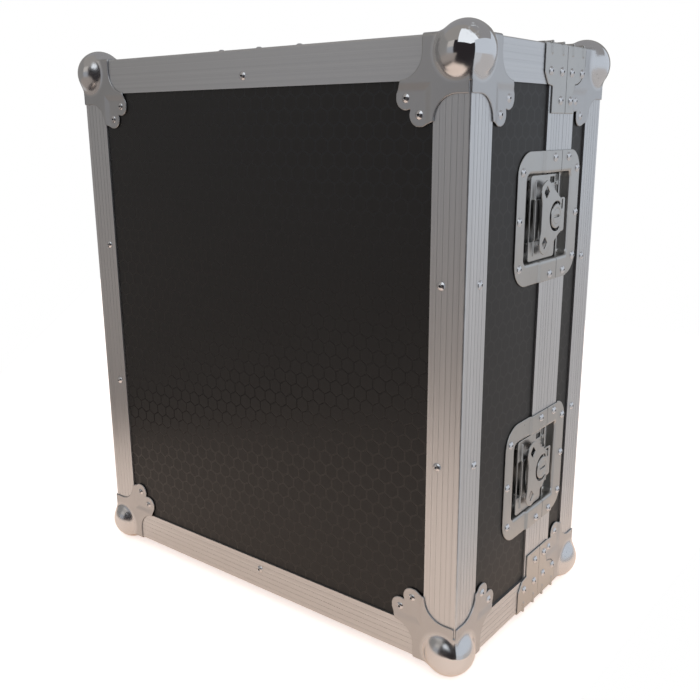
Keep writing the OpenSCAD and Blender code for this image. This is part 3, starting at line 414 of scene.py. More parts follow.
# %% Panel film
def face_place(tree, place):
    """The place vector laid flat on whichever face of the case it is on."""
    normal = add_node(tree, "NewGeometry").outputs["True Normal"]
    turned = add_node(tree, "VectorTransform", {0: normal}, vector_type="NORMAL",
                      convert_from="WORLD", convert_to="OBJECT").outputs[0]
    axis = add_node(tree, "SeparateXYZ", {0: vector_node(tree, "ABSOLUTE", turned)})
    xyz = add_node(tree, "SeparateXYZ", {0: place})
    front = add_node(tree, "CombineXYZ", {0: xyz.outputs[0], 1: xyz.outputs[2]}).outputs[0]
    side = add_node(tree, "CombineXYZ", {0: xyz.outputs[1], 1: xyz.outputs[2]}).outputs[0]
    top = add_node(tree, "CombineXYZ", {0: xyz.outputs[0], 1: xyz.outputs[1]}).outputs[0]
    on_side = math_node(tree, "GREATER_THAN", axis.outputs[0], 0.5)
    on_top = math_node(tree, "GREATER_THAN", axis.outputs[2], 0.5)
    upright = add_node(tree, "Mix", {0: on_side, 4: front, 5: side}, data_type="VECTOR").outputs[1]
    return add_node(tree, "Mix", {0: on_top, 4: upright, 5: top}, data_type="VECTOR").outputs[1]


film_rough, film_cloudy, film_ior = 0.43, 0.06, 1.465
line_tint, line_sink, scuff_tint, grain_rise = 0.15, 0.8, 0.25, 0.35
dust_apart, dust_size, dust_bare = 32 * mm, 0.7 * mm, 0.7


def film_finish(name, line_gloss):
    """The film. Its lines are smoother than the rest by line_gloss."""
    material, tree, shader, place = finish_of(name)
    lines = honeycomb(tree, face_place(tree, place))
    cloud = noise_node(tree, place, 9, 3)
    grain = noise_node(tree, place, 900, 2)
    scuff = ramp_node(tree, noise_node(tree, place, 45, 6, 0.7), 0.68, 0.8)
    tone = blend_node(tree, cloud, (0.0060, 0.0052, 0.0049, 1), (0.0086, 0.0074, 0.0070, 1))
    on_line = math_node(tree, "MULTIPLY", lines, line_tint)
    tone = blend_node(tree, on_line, tone, (0.0045, 0.0045, 0.0048, 1))
    scuffed = math_node(tree, "MULTIPLY", scuff, scuff_tint)
    tone = blend_node(tree, scuffed, tone, (0.035, 0.034, 0.034, 1))
    dust = add_node(tree, "TexVoronoi", {"Vector": place, "Scale": 1 / dust_apart})
    chance = add_node(tree, "SeparateColor", {0: dust.outputs["Color"]}).outputs[0]
    some = math_node(tree, "GREATER_THAN", chance, dust_bare)
    speck_edge = dust_size / dust_apart
    speck = ramp_node(tree, dust.outputs["Distance"], speck_edge, speck_edge / 2)
    tone = blend_node(tree, math_node(tree, "MULTIPLY", speck, some), tone, (0.30, 0.29, 0.28, 1))
    rough = math_node(tree, "ADD", film_rough, math_node(tree, "MULTIPLY", lines, -line_gloss))
    rough = math_node(tree, "ADD", rough, math_node(tree, "MULTIPLY", cloud, film_cloudy))
    height = math_node(tree, "ADD", math_node(tree, "MULTIPLY", lines, -line_sink),
                       math_node(tree, "MULTIPLY", grain, grain_rise))
    connect(tree, shader, base_color=tone, roughness=rough, ior=film_ior,
            normal=bump_node(tree, height, 0.5, 0.06 * mm))
    return material


film = film_finish("panel_film", 0.22)
side_film = film_finish("side_film", 0.07)
print("panel film:", len(film.node_tree.nodes), "nodes")

# %% [markdown]
# The edge profiles are drawn aluminium, anodised in its natural colour. The die
# leaves fine streaks along the profile, which the CAD grooves can't show. A noise
# that is stretched more than two thousandfold along the profile gives them, where real
# grooves so fine would take millions of faces. Three finishes are made, one for each
# direction in which a profile can lie.
# The case gets knocked along its edges first. There the metal is a little brighter and
# rougher, in patches. How far a point lies from the nearest case edge is the middle
# one of its three distances from the case's faces.

# %% Drawn aluminium
wear_width, wear_full, wear_tint, wear_rough = 2.6 * mm, 0.4 * mm, 0.6, 0.08


def from_middle(tree, place):
    """How far a point lies from the middle of the case, along each axis."""
    return vector_node(tree, "ABSOLUTE", vector_node(tree, "SUBTRACT", place, tuple(case_mid)))


def edge_wear(tree, place):
    """Up to 1 in worn patches along the case's edges, else 0."""
    inward = vector_node(tree, "SUBTRACT", tuple(case_size / 2), from_middle(tree, place))
    x, y, z = add_node(tree, "SeparateXYZ", {0: inward}).outputs
    nearer, farther = math_node(tree, "MINIMUM", x, y), math_node(tree, "MAXIMUM", x, y)
    from_edge = math_node(tree, "MAXIMUM", nearer, math_node(tree, "MINIMUM", farther, z))
    patches = ramp_node(tree, noise_node(tree, place, 55, 5, 0.7), 0.42, 0.62)
    return math_node(tree, "MULTIPLY", ramp_node(tree, from_edge, wear_width, wear_full), patches)


across, along, hair_finer = 380, 0.15, 7.3
streak_smooth, streak_dull, cloud_tint, hair_rise = 0.35, 0.43, 0.3, 0.5


def aluminium_finish(name, stretch):
    material, tree, shader, place = finish_of(name)
    drawn_out = vector_node(tree, "MULTIPLY", place, stretch)
    streak = ramp_node(tree, noise_node(tree, drawn_out, 1, 5, 0.62), 0.3, 0.7)
    hair = noise_node(tree, vector_node(tree, "MULTIPLY", drawn_out, (hair_finer,) * 3), 1, 2)
    cloud = noise_node(tree, place, 14, 3)
    tone = blend_node(tree, streak, (0.575, 0.58, 0.59, 1), (0.71, 0.715, 0.725, 1))
    clouded = math_node(tree, "MULTIPLY", cloud, cloud_tint)
    tone = blend_node(tree, clouded, tone, (0.60, 0.60, 0.605, 1))
    rough = ramp_node(tree, streak, 0, 1, streak_smooth, streak_dull)
    wear = edge_wear(tree, place)
    worn = math_node(tree, "MULTIPLY", wear, wear_tint)
    tone = blend_node(tree, worn, tone, (0.78, 0.78, 0.78, 1))
    rough = math_node(tree, "ADD", rough, math_node(tree, "MULTIPLY", wear, wear_rough))
    height = math_node(tree, "ADD", streak, math_node(tree, "MULTIPLY", hair, hair_rise))
    connect(tree, shader, base_color=tone, metallic=1.0, roughness=rough,
            normal=bump_node(tree, height, 0.25, 0.05 * mm))
    return material


aluminium_upright = aluminium_finish("aluminium_upright", (across, across, along))
aluminium_cross = aluminium_finish("aluminium_cross", (along, across, across))
aluminium_depth = aluminium_finish("aluminium_depth", (across, along, across))
print("aluminium streaks are stretched", round(across / along), "times")

# %% [markdown]
# All the steel is plated. Braces, latches and the handle dish show the dull skin of
# the rolled sheet through the plating, with faint stains and hair scratches. Deep in
# their gaps the colour is darkened as painted shade: an ambient occlusion node tells
# how shut in a point is, and darkens the metal's colour there. The rivets, springs and
# hinges get the same graph of nodes with other tones.

# %% Plated steel
scratch_stretch, scratch_from, scratch_full = (700, 520, 90), 0.66, 0.7
stain_tint, stain_rough, scratch_rough = 0.15, 0.05, 0.1
recess_reach, recess_open, recess_shut, recess_shade_strength = 7 * mm, 0.6, 0.2, 0.9


def painted_recess_shade(tree):
    """Near 1 deep in a narrow gap and 0 in the open: the share of painted shade in the colour."""
    occlusion = add_node(tree, "AmbientOcclusion", {"Distance": recess_reach}, samples=8)
    return ramp_node(tree, occlusion.outputs["AO"], recess_open, recess_shut)


def plated_finish(name, tone_a, tone_b, rough_low, rough_high):
    material, tree, shader, place = finish_of(name)
    cloud = noise_node(tree, place, 30, 4, 0.6)
    grain = noise_node(tree, place, 1600, 2)
    stain = ramp_node(tree, noise_node(tree, place, 70, 5, 0.7), 0.55, 0.8)
    tone = blend_node(tree, cloud, tone_a, tone_b)
    stained = math_node(tree, "MULTIPLY", stain, stain_tint)
    tone = blend_node(tree, stained, tone, (0.30, 0.29, 0.28, 1))
    # painted shade: the colour goes towards near black where the occlusion node finds a narrow gap
    painted_shade = math_node(tree, "MULTIPLY", painted_recess_shade(tree), recess_shade_strength)
    tone = blend_node(tree, painted_shade, tone, (0.04, 0.04, 0.05, 1))
    rough = ramp_node(tree, cloud, 0.3, 0.7, rough_low, rough_high)
    rough = math_node(tree, "ADD", rough, math_node(tree, "MULTIPLY", stain, stain_rough))
    drawn_out = vector_node(tree, "MULTIPLY", place, scratch_stretch)
    scratch = ramp_node(tree, noise_node(tree, drawn_out, 1, 3), scratch_from, scratch_full)
    rough = math_node(tree, "ADD", rough, math_node(tree, "MULTIPLY", scratch, scratch_rough))
    height = math_node(tree, "SUBTRACT", grain, scratch)
    connect(tree, shader, base_color=tone, metallic=1.0, roughness=rough,
            normal=bump_node(tree, height, 0.25, 0.02 * mm))
    return material


plated = plated_finish("plated_steel", (0.46, 0.455, 0.44, 1), (0.57, 0.56, 0.545, 1), 0.27, 0.36)
hinge_steel = plated_finish("hinge_steel", (0.46, 0.46, 0.46, 1), (0.56, 0.56, 0.55, 1), 0.24, 0.34)
spring_steel = plated_finish("spring_steel", (0.30, 0.30, 0.31, 1), (0.38, 0.38, 0.39, 1), 0.2, 0.3)
rivet_metal = plated_finish("rivet_metal", (0.66, 0.66, 0.68, 1), (0.75, 0.75, 0.76, 1), 0.22, 0.30)
# near-black finish for the rivet holes: painted shade down the hole, over the pin end that a real rivet
# has
pin_and_hole_shade = plated_finish("painted_hole_shade", (0.05, 0.05, 0.05, 1), (0.10, 0.095, 0.09, 1), 0.45, 0.6)
print("plated steel:", len(plated.node_tree.nodes), "nodes")

# %% [markdown]
# The ball of a corner is polished like a mirror, and its leaves are as dull as the
# other sheets. One finish does both: it turns smoother near the ball, by the distance
# from the ball's centre. Two materials side by side would show a hard line between
# them. A ball is hazier at its foot, where it meets the leaves, than at its crown, so
# the smoothness also follows the direction from the centre.

# %% Polished ball
ball_radius, ball_inset = 21, 11.5
polish_to, leaf_from = ball_radius + 0.3, ball_radius + 4
crown_rough, foot_rough, crown_ends, foot_starts = 0.045, 0.24, 0.78, 0.38


def ball_finish():
    material, tree, shader, place = finish_of("ball_steel")
    ball_middle = case_size / 2 - Vector((ball_inset,) * 3) * mm
    from_ball = vector_node(tree, "SUBTRACT", from_middle(tree, place), tuple(ball_middle))
    away = vector_node(tree, "LENGTH", from_ball)
    leaf = ramp_node(tree, away, polish_to * mm, leaf_from * mm)
    outward = vector_node(tree, "NORMALIZE", from_ball)
    crown = vector_node(tree, "DOT_PRODUCT", outward, (1 / math.sqrt(3),) * 3)
    haze = ramp_node(tree, crown, crown_ends, foot_starts, crown_rough, foot_rough)
    cloud = noise_node(tree, place, 30, 4, 0.6)
    grain = noise_node(tree, place, 1600, 2)
    chrome_tone = blend_node(tree, cloud, (0.66, 0.66, 0.67, 1), (0.72, 0.72, 0.73, 1))
    leaf_tone = blend_node(tree, cloud, (0.475, 0.475, 0.48, 1), (0.565, 0.565, 0.57, 1))
    leaf_rough = ramp_node(tree, cloud, 0.3, 0.7, 0.34, 0.42)
    rough = add_node(tree, "MapRange", {0: leaf, 3: haze, 4: leaf_rough}).outputs[0]
    height = math_node(tree, "MULTIPLY", grain, leaf)
    connect(tree, shader, base_color=blend_node(tree, leaf, chrome_tone, leaf_tone),
            metallic=1.0, roughness=rough, normal=bump_node(tree, height, 0.25, 0.02 * mm))
    return material


chrome = ball_finish()
print("ball finish:", len(chrome.node_tree.nodes), "nodes")

# %% [markdown]
# Lining and grip are the only soft pieces. Closed-cell foam is charcoal, matt and
# full of tiny pits, for which the distance to the nearest cell of a Voronoi texture
# serves. The pits are dented by a bump, and painted shade darkens their middles. The
# grip is black rubber with a dry bloom.

# %% Foam and rubber
def foam_finish():
    material, tree, shader, place = finish_of("lining_foam")
    pits = add_node(tree, "TexVoronoi", {"Vector": place, "Scale": 900}).outputs["Distance"]
    cloud = noise_node(tree, place, 12, 4)
    tone = blend_node(tree, cloud, (0.030, 0.030, 0.033, 1), (0.048, 0.048, 0.052, 1))
    # painted shade: the colour darkens towards the middle of each pit
    tone = blend_node(tree, ramp_node(tree, pits, 0.0, 0.4, 0.4, 0.0), tone, (0.012, 0.012, 0.013, 1))
    connect(tree, shader, base_color=tone, roughness=0.95, sheen_weight=0.15,
            normal=bump_node(tree, pits, 0.6, 0.3 * mm))
    return material


def rubber_finish():
    material, tree, shader, place = finish_of("grip_rubber")
    bloom = noise_node(tree, place, 60, 5, 0.65)
    grain = noise_node(tree, place, 2500, 2)
    tone = blend_node(tree, bloom, (0.012, 0.012, 0.012, 1), (0.028, 0.028, 0.029, 1))
    connect(tree, shader, base_color=tone, roughness=ramp_node(tree, bloom, 0.3, 0.7, 0.5, 0.68),
            normal=bump_node(tree, grain, 0.4, 0.05 * mm))
    return material


foam = foam_finish()
rubber = rubber_finish()
print("foam and rubber:", len(foam.node_tree.nodes), "and", len(rubber.node_tree.nodes), "nodes")

# %% [markdown]
# CAD pieces whose shape is already right keep it and only get their finish. A word in
# the name of each tells which. The first word in the list that fits is taken, so the
# side panels stand before the other panels.

# %% Finish the CAD pieces
def finish_node(name, material):
    mesh = nodes[name].data
    mesh.materials.clear()
    mesh.materials.append(material)


finish_by_word = [
    ("upright", aluminium_upright), ("cross", aluminium_cross), ("depth", aluminium_depth),
    ("side_panel", side_film), ("panel", film), ("foam", foam), ("grip", rubber), ("rivets", rivet_metal),
    ("springs", spring_steel), ("hinge_", hinge_steel),
]
for name in nodes:
    found = [m for word, m in finish_by_word if word in name]
    finish_node(name, found[0] if found else plated)
print("finished nodes:", len(nodes))

# %% [markdown]
# The corners. On the real case a ball corner is one sheet of steel. A press drew a
# ball into its middle and bent three leaves round it, one for each face of the case.
# The sheet closes along one case edge, where a narrow slit stays open. Each leaf
# first lies on the aluminium and then steps down to the panel, where two ears carry
# its rivets.
# The outline of a leaf comes first, seen flat from outside. It is the same on all
# three faces and mirrors itself across its diagonal.

# %% Outline of a leaf
leaf_reach, scoop, scoop_at = 39.5, 18, 11
ear_far, ear_near, ear_radius, cheek = 53, 41.5, 8.3, (0.95, -0.3)
ear_valley, scoop_soft = 1.5, 0.6


def leaf_outline(a, b):
    tip = (ear_far + ear_radius * cheek[0], ear_near + ear_radius * cheek[1])
    half = [(leaf_reach, 0), (leaf_reach, scoop_at), (leaf_reach + scoop, scoop_at + scoop),
            tip, (ear_far, ear_near)]
    corners = [(0, 0)] + half + [(y, x) for x, y in reversed(half)]
    a, b = np.maximum(a, 0), np.maximum(b, 0)
    shape = np.minimum(np.maximum(a, b) - leaf_reach, polygon_2d(a, b, corners))
    for x, y in ((ear_far, ear_near), (ear_near, ear_far)):
        shape = soft_min(shape, disc_2d(a, b, x, y, ear_radius), ear_valley)
    for x, y in ((leaf_reach + scoop, scoop_at), (scoop_at, leaf_reach + scoop)):
        shape = soft_max(shape, -disc_2d(a, b, x, y, scoop), scoop_soft)
    return shape


print("an ear reaches", ear_far + ear_radius, "mm from the case's own corner")

# %% [markdown]
# Now the sheet itself. The faces of the case, with rounded bends, and the ball are
# one soft body. The steel is the skin of that body, one sheet thick. Far from the
# case's own corner the ball flows into the leaves in a wide hollow, and close to it
# the ball is clean. The slit is cut last. It starts where the ball ends.

# %% Ball corner
sheet, gap, leg_width = 1.2, 0.3, 30
bend, crease, leaf_drop = 3, 7.5, 1.0
hollow_least, hollow_most, hollow_from, hollow_to = 0.5, 3.2, 5, 16
slit_width, slit_from = 1.3, 31
edge_soft = 0.6


def smooth_step(value, start, end):
    t = np.clip((value - start) / (end - start), 0, 1)
    return t * t * (3 - 2 * t)


def skin_of(body):
    """The outermost sheet of a body."""
    return np.abs(body + sheet / 2) - sheet / 2


def ball_corner_shape(p):
    x, y, z = p[:, 0], p[:, 1], p[:, 2]
    step = leg_width + gap
    outside = []
    for v, a, b in ((x, y, z), (y, x, z), (z, x, y)):
        down = smooth_step(np.minimum(a, b), step, step + crease)
        outside.append(leaf_drop * down - sheet - v)
    faces = soft_max(soft_max(outside[0], outside[1], bend), outside[2], bend)
    ball = np.linalg.norm(p - ball_inset, axis=1) - ball_radius
    farthest = np.maximum(np.maximum(x, y), z)
    hollow = hollow_least + (hollow_most - hollow_least) * smooth_step(farthest, hollow_from, hollow_to)
    steel = skin_of(soft_min(faces, ball, hollow))
    face = np.argmax(outside, axis=0)
    leaf = np.select([face == 0, face == 1], [leaf_outline(y, z), leaf_outline(x, z)], leaf_outline(x, y))
    slit = np.maximum(box_2d(x, z, 0, slit_width, slit_from, 2 * leaf_reach), np.abs(y) - 2 * sheet)
    return soft_max(soft_max(steel, leaf, edge_soft), -slit, edge_soft)


ball_cell, pressed_keep = 0.75, 0.3
ball_low, ball_reach = ball_inset - ball_radius - 1, ear_far + ear_radius + 1
ball_corner = skin("ball_corner", ball_corner_shape, [ball_low] * 3, [ball_reach] * 3, ball_cell,
                   pressed_keep)

# %% [markdown]
# One corner is drawn once, as seen from the case's own corner, and set eight times.
# Each setting may turn or mirror it, but never stretches it.

# %% Set the ball corners
for body, sy in (("base", -1), ("lid", 1)):
    for sx, side in ((-1, "hinge"), (1, "latch")):
        for sz, end in ((-1, "bottom"), (1, "top")):
            node = f"{body}_ball_{end}_{side}"
            place_drawn(node + "_pressed", ball_corner, [at_corner(sx, sy, sz)], body, "ball_corners",
                        chrome, [node])
print("ball corners:", sum("_ball_" in name for name in nodes))

# %% [markdown]
# Braces hold the frame's mitres at the split. Each is a sheet bent round the case
# edge, with short pressed ribs across the bend. The ribs are joined softly to the body
# before its skin is taken, so they are hollow from behind, as pressed ribs are. The lid
# is so shallow that an ear of its ball corner would lie on its brace, so the brace has
# a bite there.

# %% Braces
split_half = split_gap / 2
brace_width, brace_length, brace_shoulder, brace_slant = 39.5, 51.5, 21, (32.8, 30)
legs_and_depths = {"base": (25, 147), "lid": (17, 74.5)}
brace_bend, rib_radius, rib_length, rib_places = 2.5, 0.9, 8, (9.2, 29)


def brace_shape(leg, depth):
    past = 3 * sheet
    corners = [(split_half, -past), (brace_width, -past), (brace_width, brace_shoulder), brace_slant,
               (leg, brace_slant[1] + sheet), (leg, brace_length), (split_half, brace_length)]

    def shape(p):
        x, y, z = p[:, 0], p[:, 1], p[:, 2]
        body = soft_max(-sheet - y, -sheet - z, brace_bend)
        for rib in rib_places:
            for off, run in ((y, z), (z, y)):
                beyond = run - np.clip(run, -sheet, rib_length - sheet)
                ridge = np.sqrt((x - rib) ** 2 + (off + sheet) ** 2 + beyond ** 2) - rib_radius
                body = soft_min(body, ridge, rib_radius)
        inward = np.maximum(y, z)
        steel = soft_max(skin_of(body), polygon_2d(x, inward, corners), edge_soft)
        return soft_max(steel, gap - leaf_outline(depth - x, inward), edge_soft)

    return shape


def at_split(sx, sy, sz):
    """From a brace's axes, x from the split and y and z into the case, to the case."""
    corner = at_corner(sx, sy, sz).translation
    place = Vector((corner.x, split_y, corner.z))
    turn = Matrix(((0, -sx, 0), (sy, 0, 0), (0, 0, -sz)))
    return Matrix.Translation(place) @ turn.to_4x4()


sheet_cell = 0.7
brace_low, brace_high = [-1, -3, -3], [brace_width + 1, brace_length + 1, brace_length + 1]
for body, sy in (("base", -1), ("lid", 1)):
    shape = brace_shape(*legs_and_depths[body])
    drawn = skin(body + "_brace", shape, brace_low, brace_high, sheet_cell, pressed_keep)
    places = [at_split(sx, sy, sz) for sx in (-1, 1) for sz in (-1, 1)]
    place_drawn(body + "_braces_pressed", drawn, places, body, "braces", plated, [body + "_braces"])

# %% [markdown]
# Each latch sits in a dish that is let into the case wall. The dish is drawn from
# one sheet in two halves, one for the base and one for the lid. A flat rim lies on
# the frame's leg and steps down to the panel, and a deep tray holds the mechanism,
# so nothing sticks out when cases are stacked. The lid's half has a keeper, an
# upright strip that the latch's hook pulls on. The body of a dish is the wall with the
# tray's room taken out of it, by a wide soft maximum, and the sheet is its skin.

# %% Latch dishes
dish_half, dish_open_half, dish_open_round = 52.5, 34.7, 5
dish_sizes = {
    "base": dict(side=-1, leg=28.5, width=73.3, rounding=21, open_width=57, recess=12),
    "lid": dict(side=1, leg=18.7, width=39.5, rounding=18, open_width=21, recess=10),
}
leg_thick, tray_bend, rim_bend, dish_crease = 1.5, 4, 3, 3.4
keeper_from, keeper_to, keeper_top, cut_edge = 6.8, 8.0, -3.6, 0.4
latch_in = 132


def box_3d(p, low, high, r):
    low, high = np.array(low, float), np.array(high, float)
    q = np.abs(p - (low + high) / 2) - (high - low) / 2 + r
    return np.linalg.norm(np.maximum(q, 0), axis=1) + np.minimum(q.max(1), 0) - r


def dish_shape(side, leg, width, rounding, open_width, recess):
    def shape(p):
        x, y, z = side * p[:, 0], p[:, 1], p[:, 2]
        level = sheet - leg_thick * smooth_step(x, leg + gap, leg + gap + dish_crease)
        opening = box_2d(x, y, -open_width, open_width, -dish_open_half, dish_open_half, dish_open_round)
        tray = soft_max(opening, -recess - z, tray_bend)
        steel = skin_of(soft_max(z - level, -tray, rim_bend))
        if side > 0:
            keeper = box_3d(p, (keeper_from, -dish_open_half, -recess),
                            (keeper_to, dish_open_half, keeper_top), cut_edge)
            steel = soft_min(steel, keeper, edge_soft)
        outline = box_2d(x, y, -width, width, -dish_half, dish_half, rounding)
        return soft_max(steel, np.maximum(outline, split_half - x), edge_soft)

    return shape


def at_latch(height, hub=0):
    """From a latch's axes, x from the split to the lid and z out of the case wall."""
    place = Vector((case_high.x, split_y - hub * mm, height))
    turn = Matrix(((0, 0, 1), (1, 0, 0), (0, 1, 0)))
    return Matrix.Translation(place) @ turn.to_4x4()


latch_heights = {"upper": case_high.z - latch_in * mm, "lower": case_low.z + latch_in * mm}
for body, size in dish_sizes.items():
    reach = size["width"] + 1
    x_range = sorted((-size["side"], size["side"] * reach))
    low = [x_range[0], -dish_half - 1, -size["recess"] - sheet - 1]
    high = [x_range[1], dish_half + 1, sheet + 1]
    drawn = skin(body + "_dish", dish_shape(**size), low, high, sheet_cell, pressed_keep)
    for word, height in latch_heights.items():
        node = word + ("_latch_dish" if body == "base" else "_latch_lid_dish")
        place_drawn(node + "_drawn", drawn, [at_latch(height)], body, "latch_steel", plated, [node])

# %% [markdown]
# The mechanism has four pieces. A carrier plate closes most of the tray and holds
# everything else, with a window for the fingers and a flat spring across it. A hub
# turns in the carrier, and its cam slides the hook plate over the lid's keeper. A
# folding wing turns the hub. Its round ends have diamond holes.
# The carrier is a flat outline with its cuts, given the thickness of a sheet. Then the
# legs, the lip, the stud and the spring are joined to it.

# %% Carrier plate
plate_low, plate_high, plate_round = -3.0, -1.8, 3
carrier_left, carrier_right, carrier_half = -39, 8.5, 33.8
window, window_round = (-38, -17, -18, 15), 1.5
leg_half, leg_foot, leg_left, tray_floor = 22, 7, -24, -12
shaft_room = 4.65
spring_bar = ((-32, -17, -1.7), (-25, 15, -0.6))
spring_arm_x, spring_arm_end, spring_arm_radius = -31, 29, 0.9
plate_hole, hole_round = (-5, 3, 26.8, 31.5), 0.6
stud_place, stud_radius, stud_half_height = (6.2, 26.5), 1.9, 1.0
lip_from, lip_low, lip_high = 7.4, 18, 0.0
thin_edge, weld = 0.5, 0.8
formed_keep = 0.6


def carrier_shape(p):
    x, y, z = p[:, 0], p[:, 1], p[:, 2]
    plate = box_2d(x, y, carrier_left, carrier_right, -carrier_half, carrier_half, plate_round)
    plate = np.maximum(plate, -box_2d(x, y, *window, window_round))
    plate = np.maximum(plate, -disc_2d(x, y, 0, 0, shaft_room))
    plate = np.maximum(plate, -box_2d(x, y, *plate_hole, hole_round))
    steel = soft_max(plate, np.abs(z - (plate_low + plate_high) / 2) - sheet / 2, thin_edge)
    for s in (-1, 1):
        wall = sorted((s * (leg_half - sheet), s * leg_half))
        foot = sorted((s * (leg_half - sheet), s * (leg_half + leg_foot)))
        for y_range, top in ((wall, plate_high), (foot, tray_floor + sheet)):
            low, high = (leg_left, y_range[0], tray_floor), (carrier_right, y_range[1], top)
            steel = soft_min(steel, box_3d(p, low, high, cut_edge), weld)
    lip = box_3d(p, (lip_from, lip_low, plate_low), (carrier_right, carrier_half, lip_high), cut_edge)
    stud = np.maximum(disc_2d(x, y, *stud_place, stud_radius), np.abs(z - plate_high) - stud_half_height)
    bar = box_3d(p, *spring_bar, thin_edge)
    beyond = y - np.clip(y, -spring_arm_end, spring_arm_end)
    arms = np.sqrt((x - spring_arm_x) ** 2 + (z - plate_high) ** 2 + beyond ** 2) - spring_arm_radius
    for extra in (lip, stud, bar, arms):
        steel = soft_min(steel, extra, thin_edge)
    return steel


carrier_box, carrier_cell = ((-41, -36, -13.5), (10, 36, 2)), 0.55
carrier = skin("latch_carrier", carrier_shape, *carrier_box, carrier_cell, formed_keep)

# %% [markdown]
# The hub is a button with a rounded rim. A key slot and a fine ring are cut into its
# face, an off-centre cam sits under it, and a washer holds it to the carrier. Each of
# these is a round slab. A lathe would be the other way, but not for the cam and the slot.

# %% Hub
hub_radius, head_low, head_high, head_edge = 10, 0.4, 3.4, 1.2
cam_offset, cam_radius, cam_low, cam_high = 3, 8, -1.5, 0.9
shaft_radius, shaft_into_head = 4.6, 0.5
washer_low, washer_high, washer_radius, washer_edge, turned_edge = -4.5, -3.3, 7, 0.4, 0.3
pin_place, pin_room = (7.3, 2.0), 0.95
slot_half_length, slot_half_width, slot_floor, slot_edge = 5, 0.9, 2.3, 0.4
key_ring, key_ring_half = 6.6, 0.35


def round_slab(x, y, z, radius, low, high, edge):
    return soft_max(np.hypot(x, y) - radius, np.abs(z - (low + high) / 2) - (high - low) / 2, edge)


def hub_shape(p):
    x, y, z = p[:, 0], p[:, 1], p[:, 2]
    metal = round_slab(x, y, z, hub_radius, head_low, head_high, head_edge)
    cam = round_slab(x + cam_offset, y, z, cam_radius, cam_low, cam_high, turned_edge)
    shaft = round_slab(x, y, z, shaft_radius, washer_low, head_low + shaft_into_head, turned_edge)
    washer = round_slab(x, y, z, washer_radius, washer_low, washer_high, washer_edge)
    for extra in (cam, shaft, washer):
        metal = np.minimum(metal, extra)
    metal = np.maximum(metal, pin_room - np.hypot(x - pin_place[0], z - pin_place[1]))
    slot = box_2d(x, y, -slot_half_length, slot_half_length, -slot_half_width, slot_half_width,
                  slot_half_width)
    slot = np.maximum(slot, slot_floor - z)
    ring = np.hypot(np.hypot(x, y) - key_ring, z - head_high) - key_ring_half
    return soft_max(soft_max(metal, -slot, slot_edge), -ring, turned_edge)


hub_box, hub_cell = ((-13, -12, -5.5), (12, 12, 4.5)), 0.45
hub = skin("latch_hub", hub_shape, *hub_box, hub_cell, formed_keep)

# %% [markdown]
# The hook plate is a flat sheet whose end is bent down over the lid's keeper. The cam
# turns in its wide window, and a narrow slot, wider at one end, shows beside the hub.
# The bend is a soft maximum of the plate's top and its end, as at the case's edges.

# %% Hook plate
hook_left, hook_right, hook_shoulder, hook_side, hook_half = -22, 23, 8.5, 17, 14.1
hook_thick, hook_lip_low, hook_bend, shoulder_round, hook_round = 1.5, -3.3, 2, 2, 4
cam_window, cam_window_round = (-11.95, 5.95, -11.5, 11.5), 2
hook_slots = ((15.6, 18.0, 4.6, 12.4), (13.2, 18.0, 10.2, 12.4))


def hook_shape(p):
    x, y, z = p[:, 0], p[:, 1], p[:, 2]
    body = soft_max(x - hook_right, z, hook_bend)
    steel = np.abs(body + hook_thick / 2) - hook_thick / 2
    outline = np.minimum(box_2d(x, y, hook_left, hook_shoulder, -hook_side, hook_side, shoulder_round),
                         box_2d(x, y, hook_left, hook_right, -hook_half, hook_half, hook_round))
    outline = np.maximum(outline, -box_2d(x, y, *cam_window, cam_window_round))
    for slot in hook_slots:
        outline = np.maximum(outline, -box_2d(x, y, *slot, cut_edge))
    return soft_max(soft_max(steel, outline, thin_edge), hook_lip_low - z, thin_edge)


hook_box, hook_cell = ((-23.5, -18.5, -4.5), (24.5, 18.5, 1)), 0.5
hook = skin("latch_hook", hook_shape, *hook_box, hook_cell, formed_keep)

# %% [markdown]
# The wing is a waisted sheet with a round cut for the hub. Two knuckles at its right
# edge run on a pin through the hub, so that it can be folded up and turned. Its two
# ends are alike. So the form is written for one of them, and the field takes y without
# its sign.

# %% Wing
wing_back, wing_half, wing_round = 19.3, 20.2, 9
wing_low, wing_high, wing_cheek = 1.7, 2.9, (0.45, 0.9)
wing_waist, wing_cheek_soft, wing_cut = 1.6, 2, hub_radius + 2.2
diamond_half, diamond_round, diamond_edge = (3.0, 3.2), 1.4, 0.4
knuckle_radius, knuckle_half, knuckle_from = 1.6, 14, 9.7


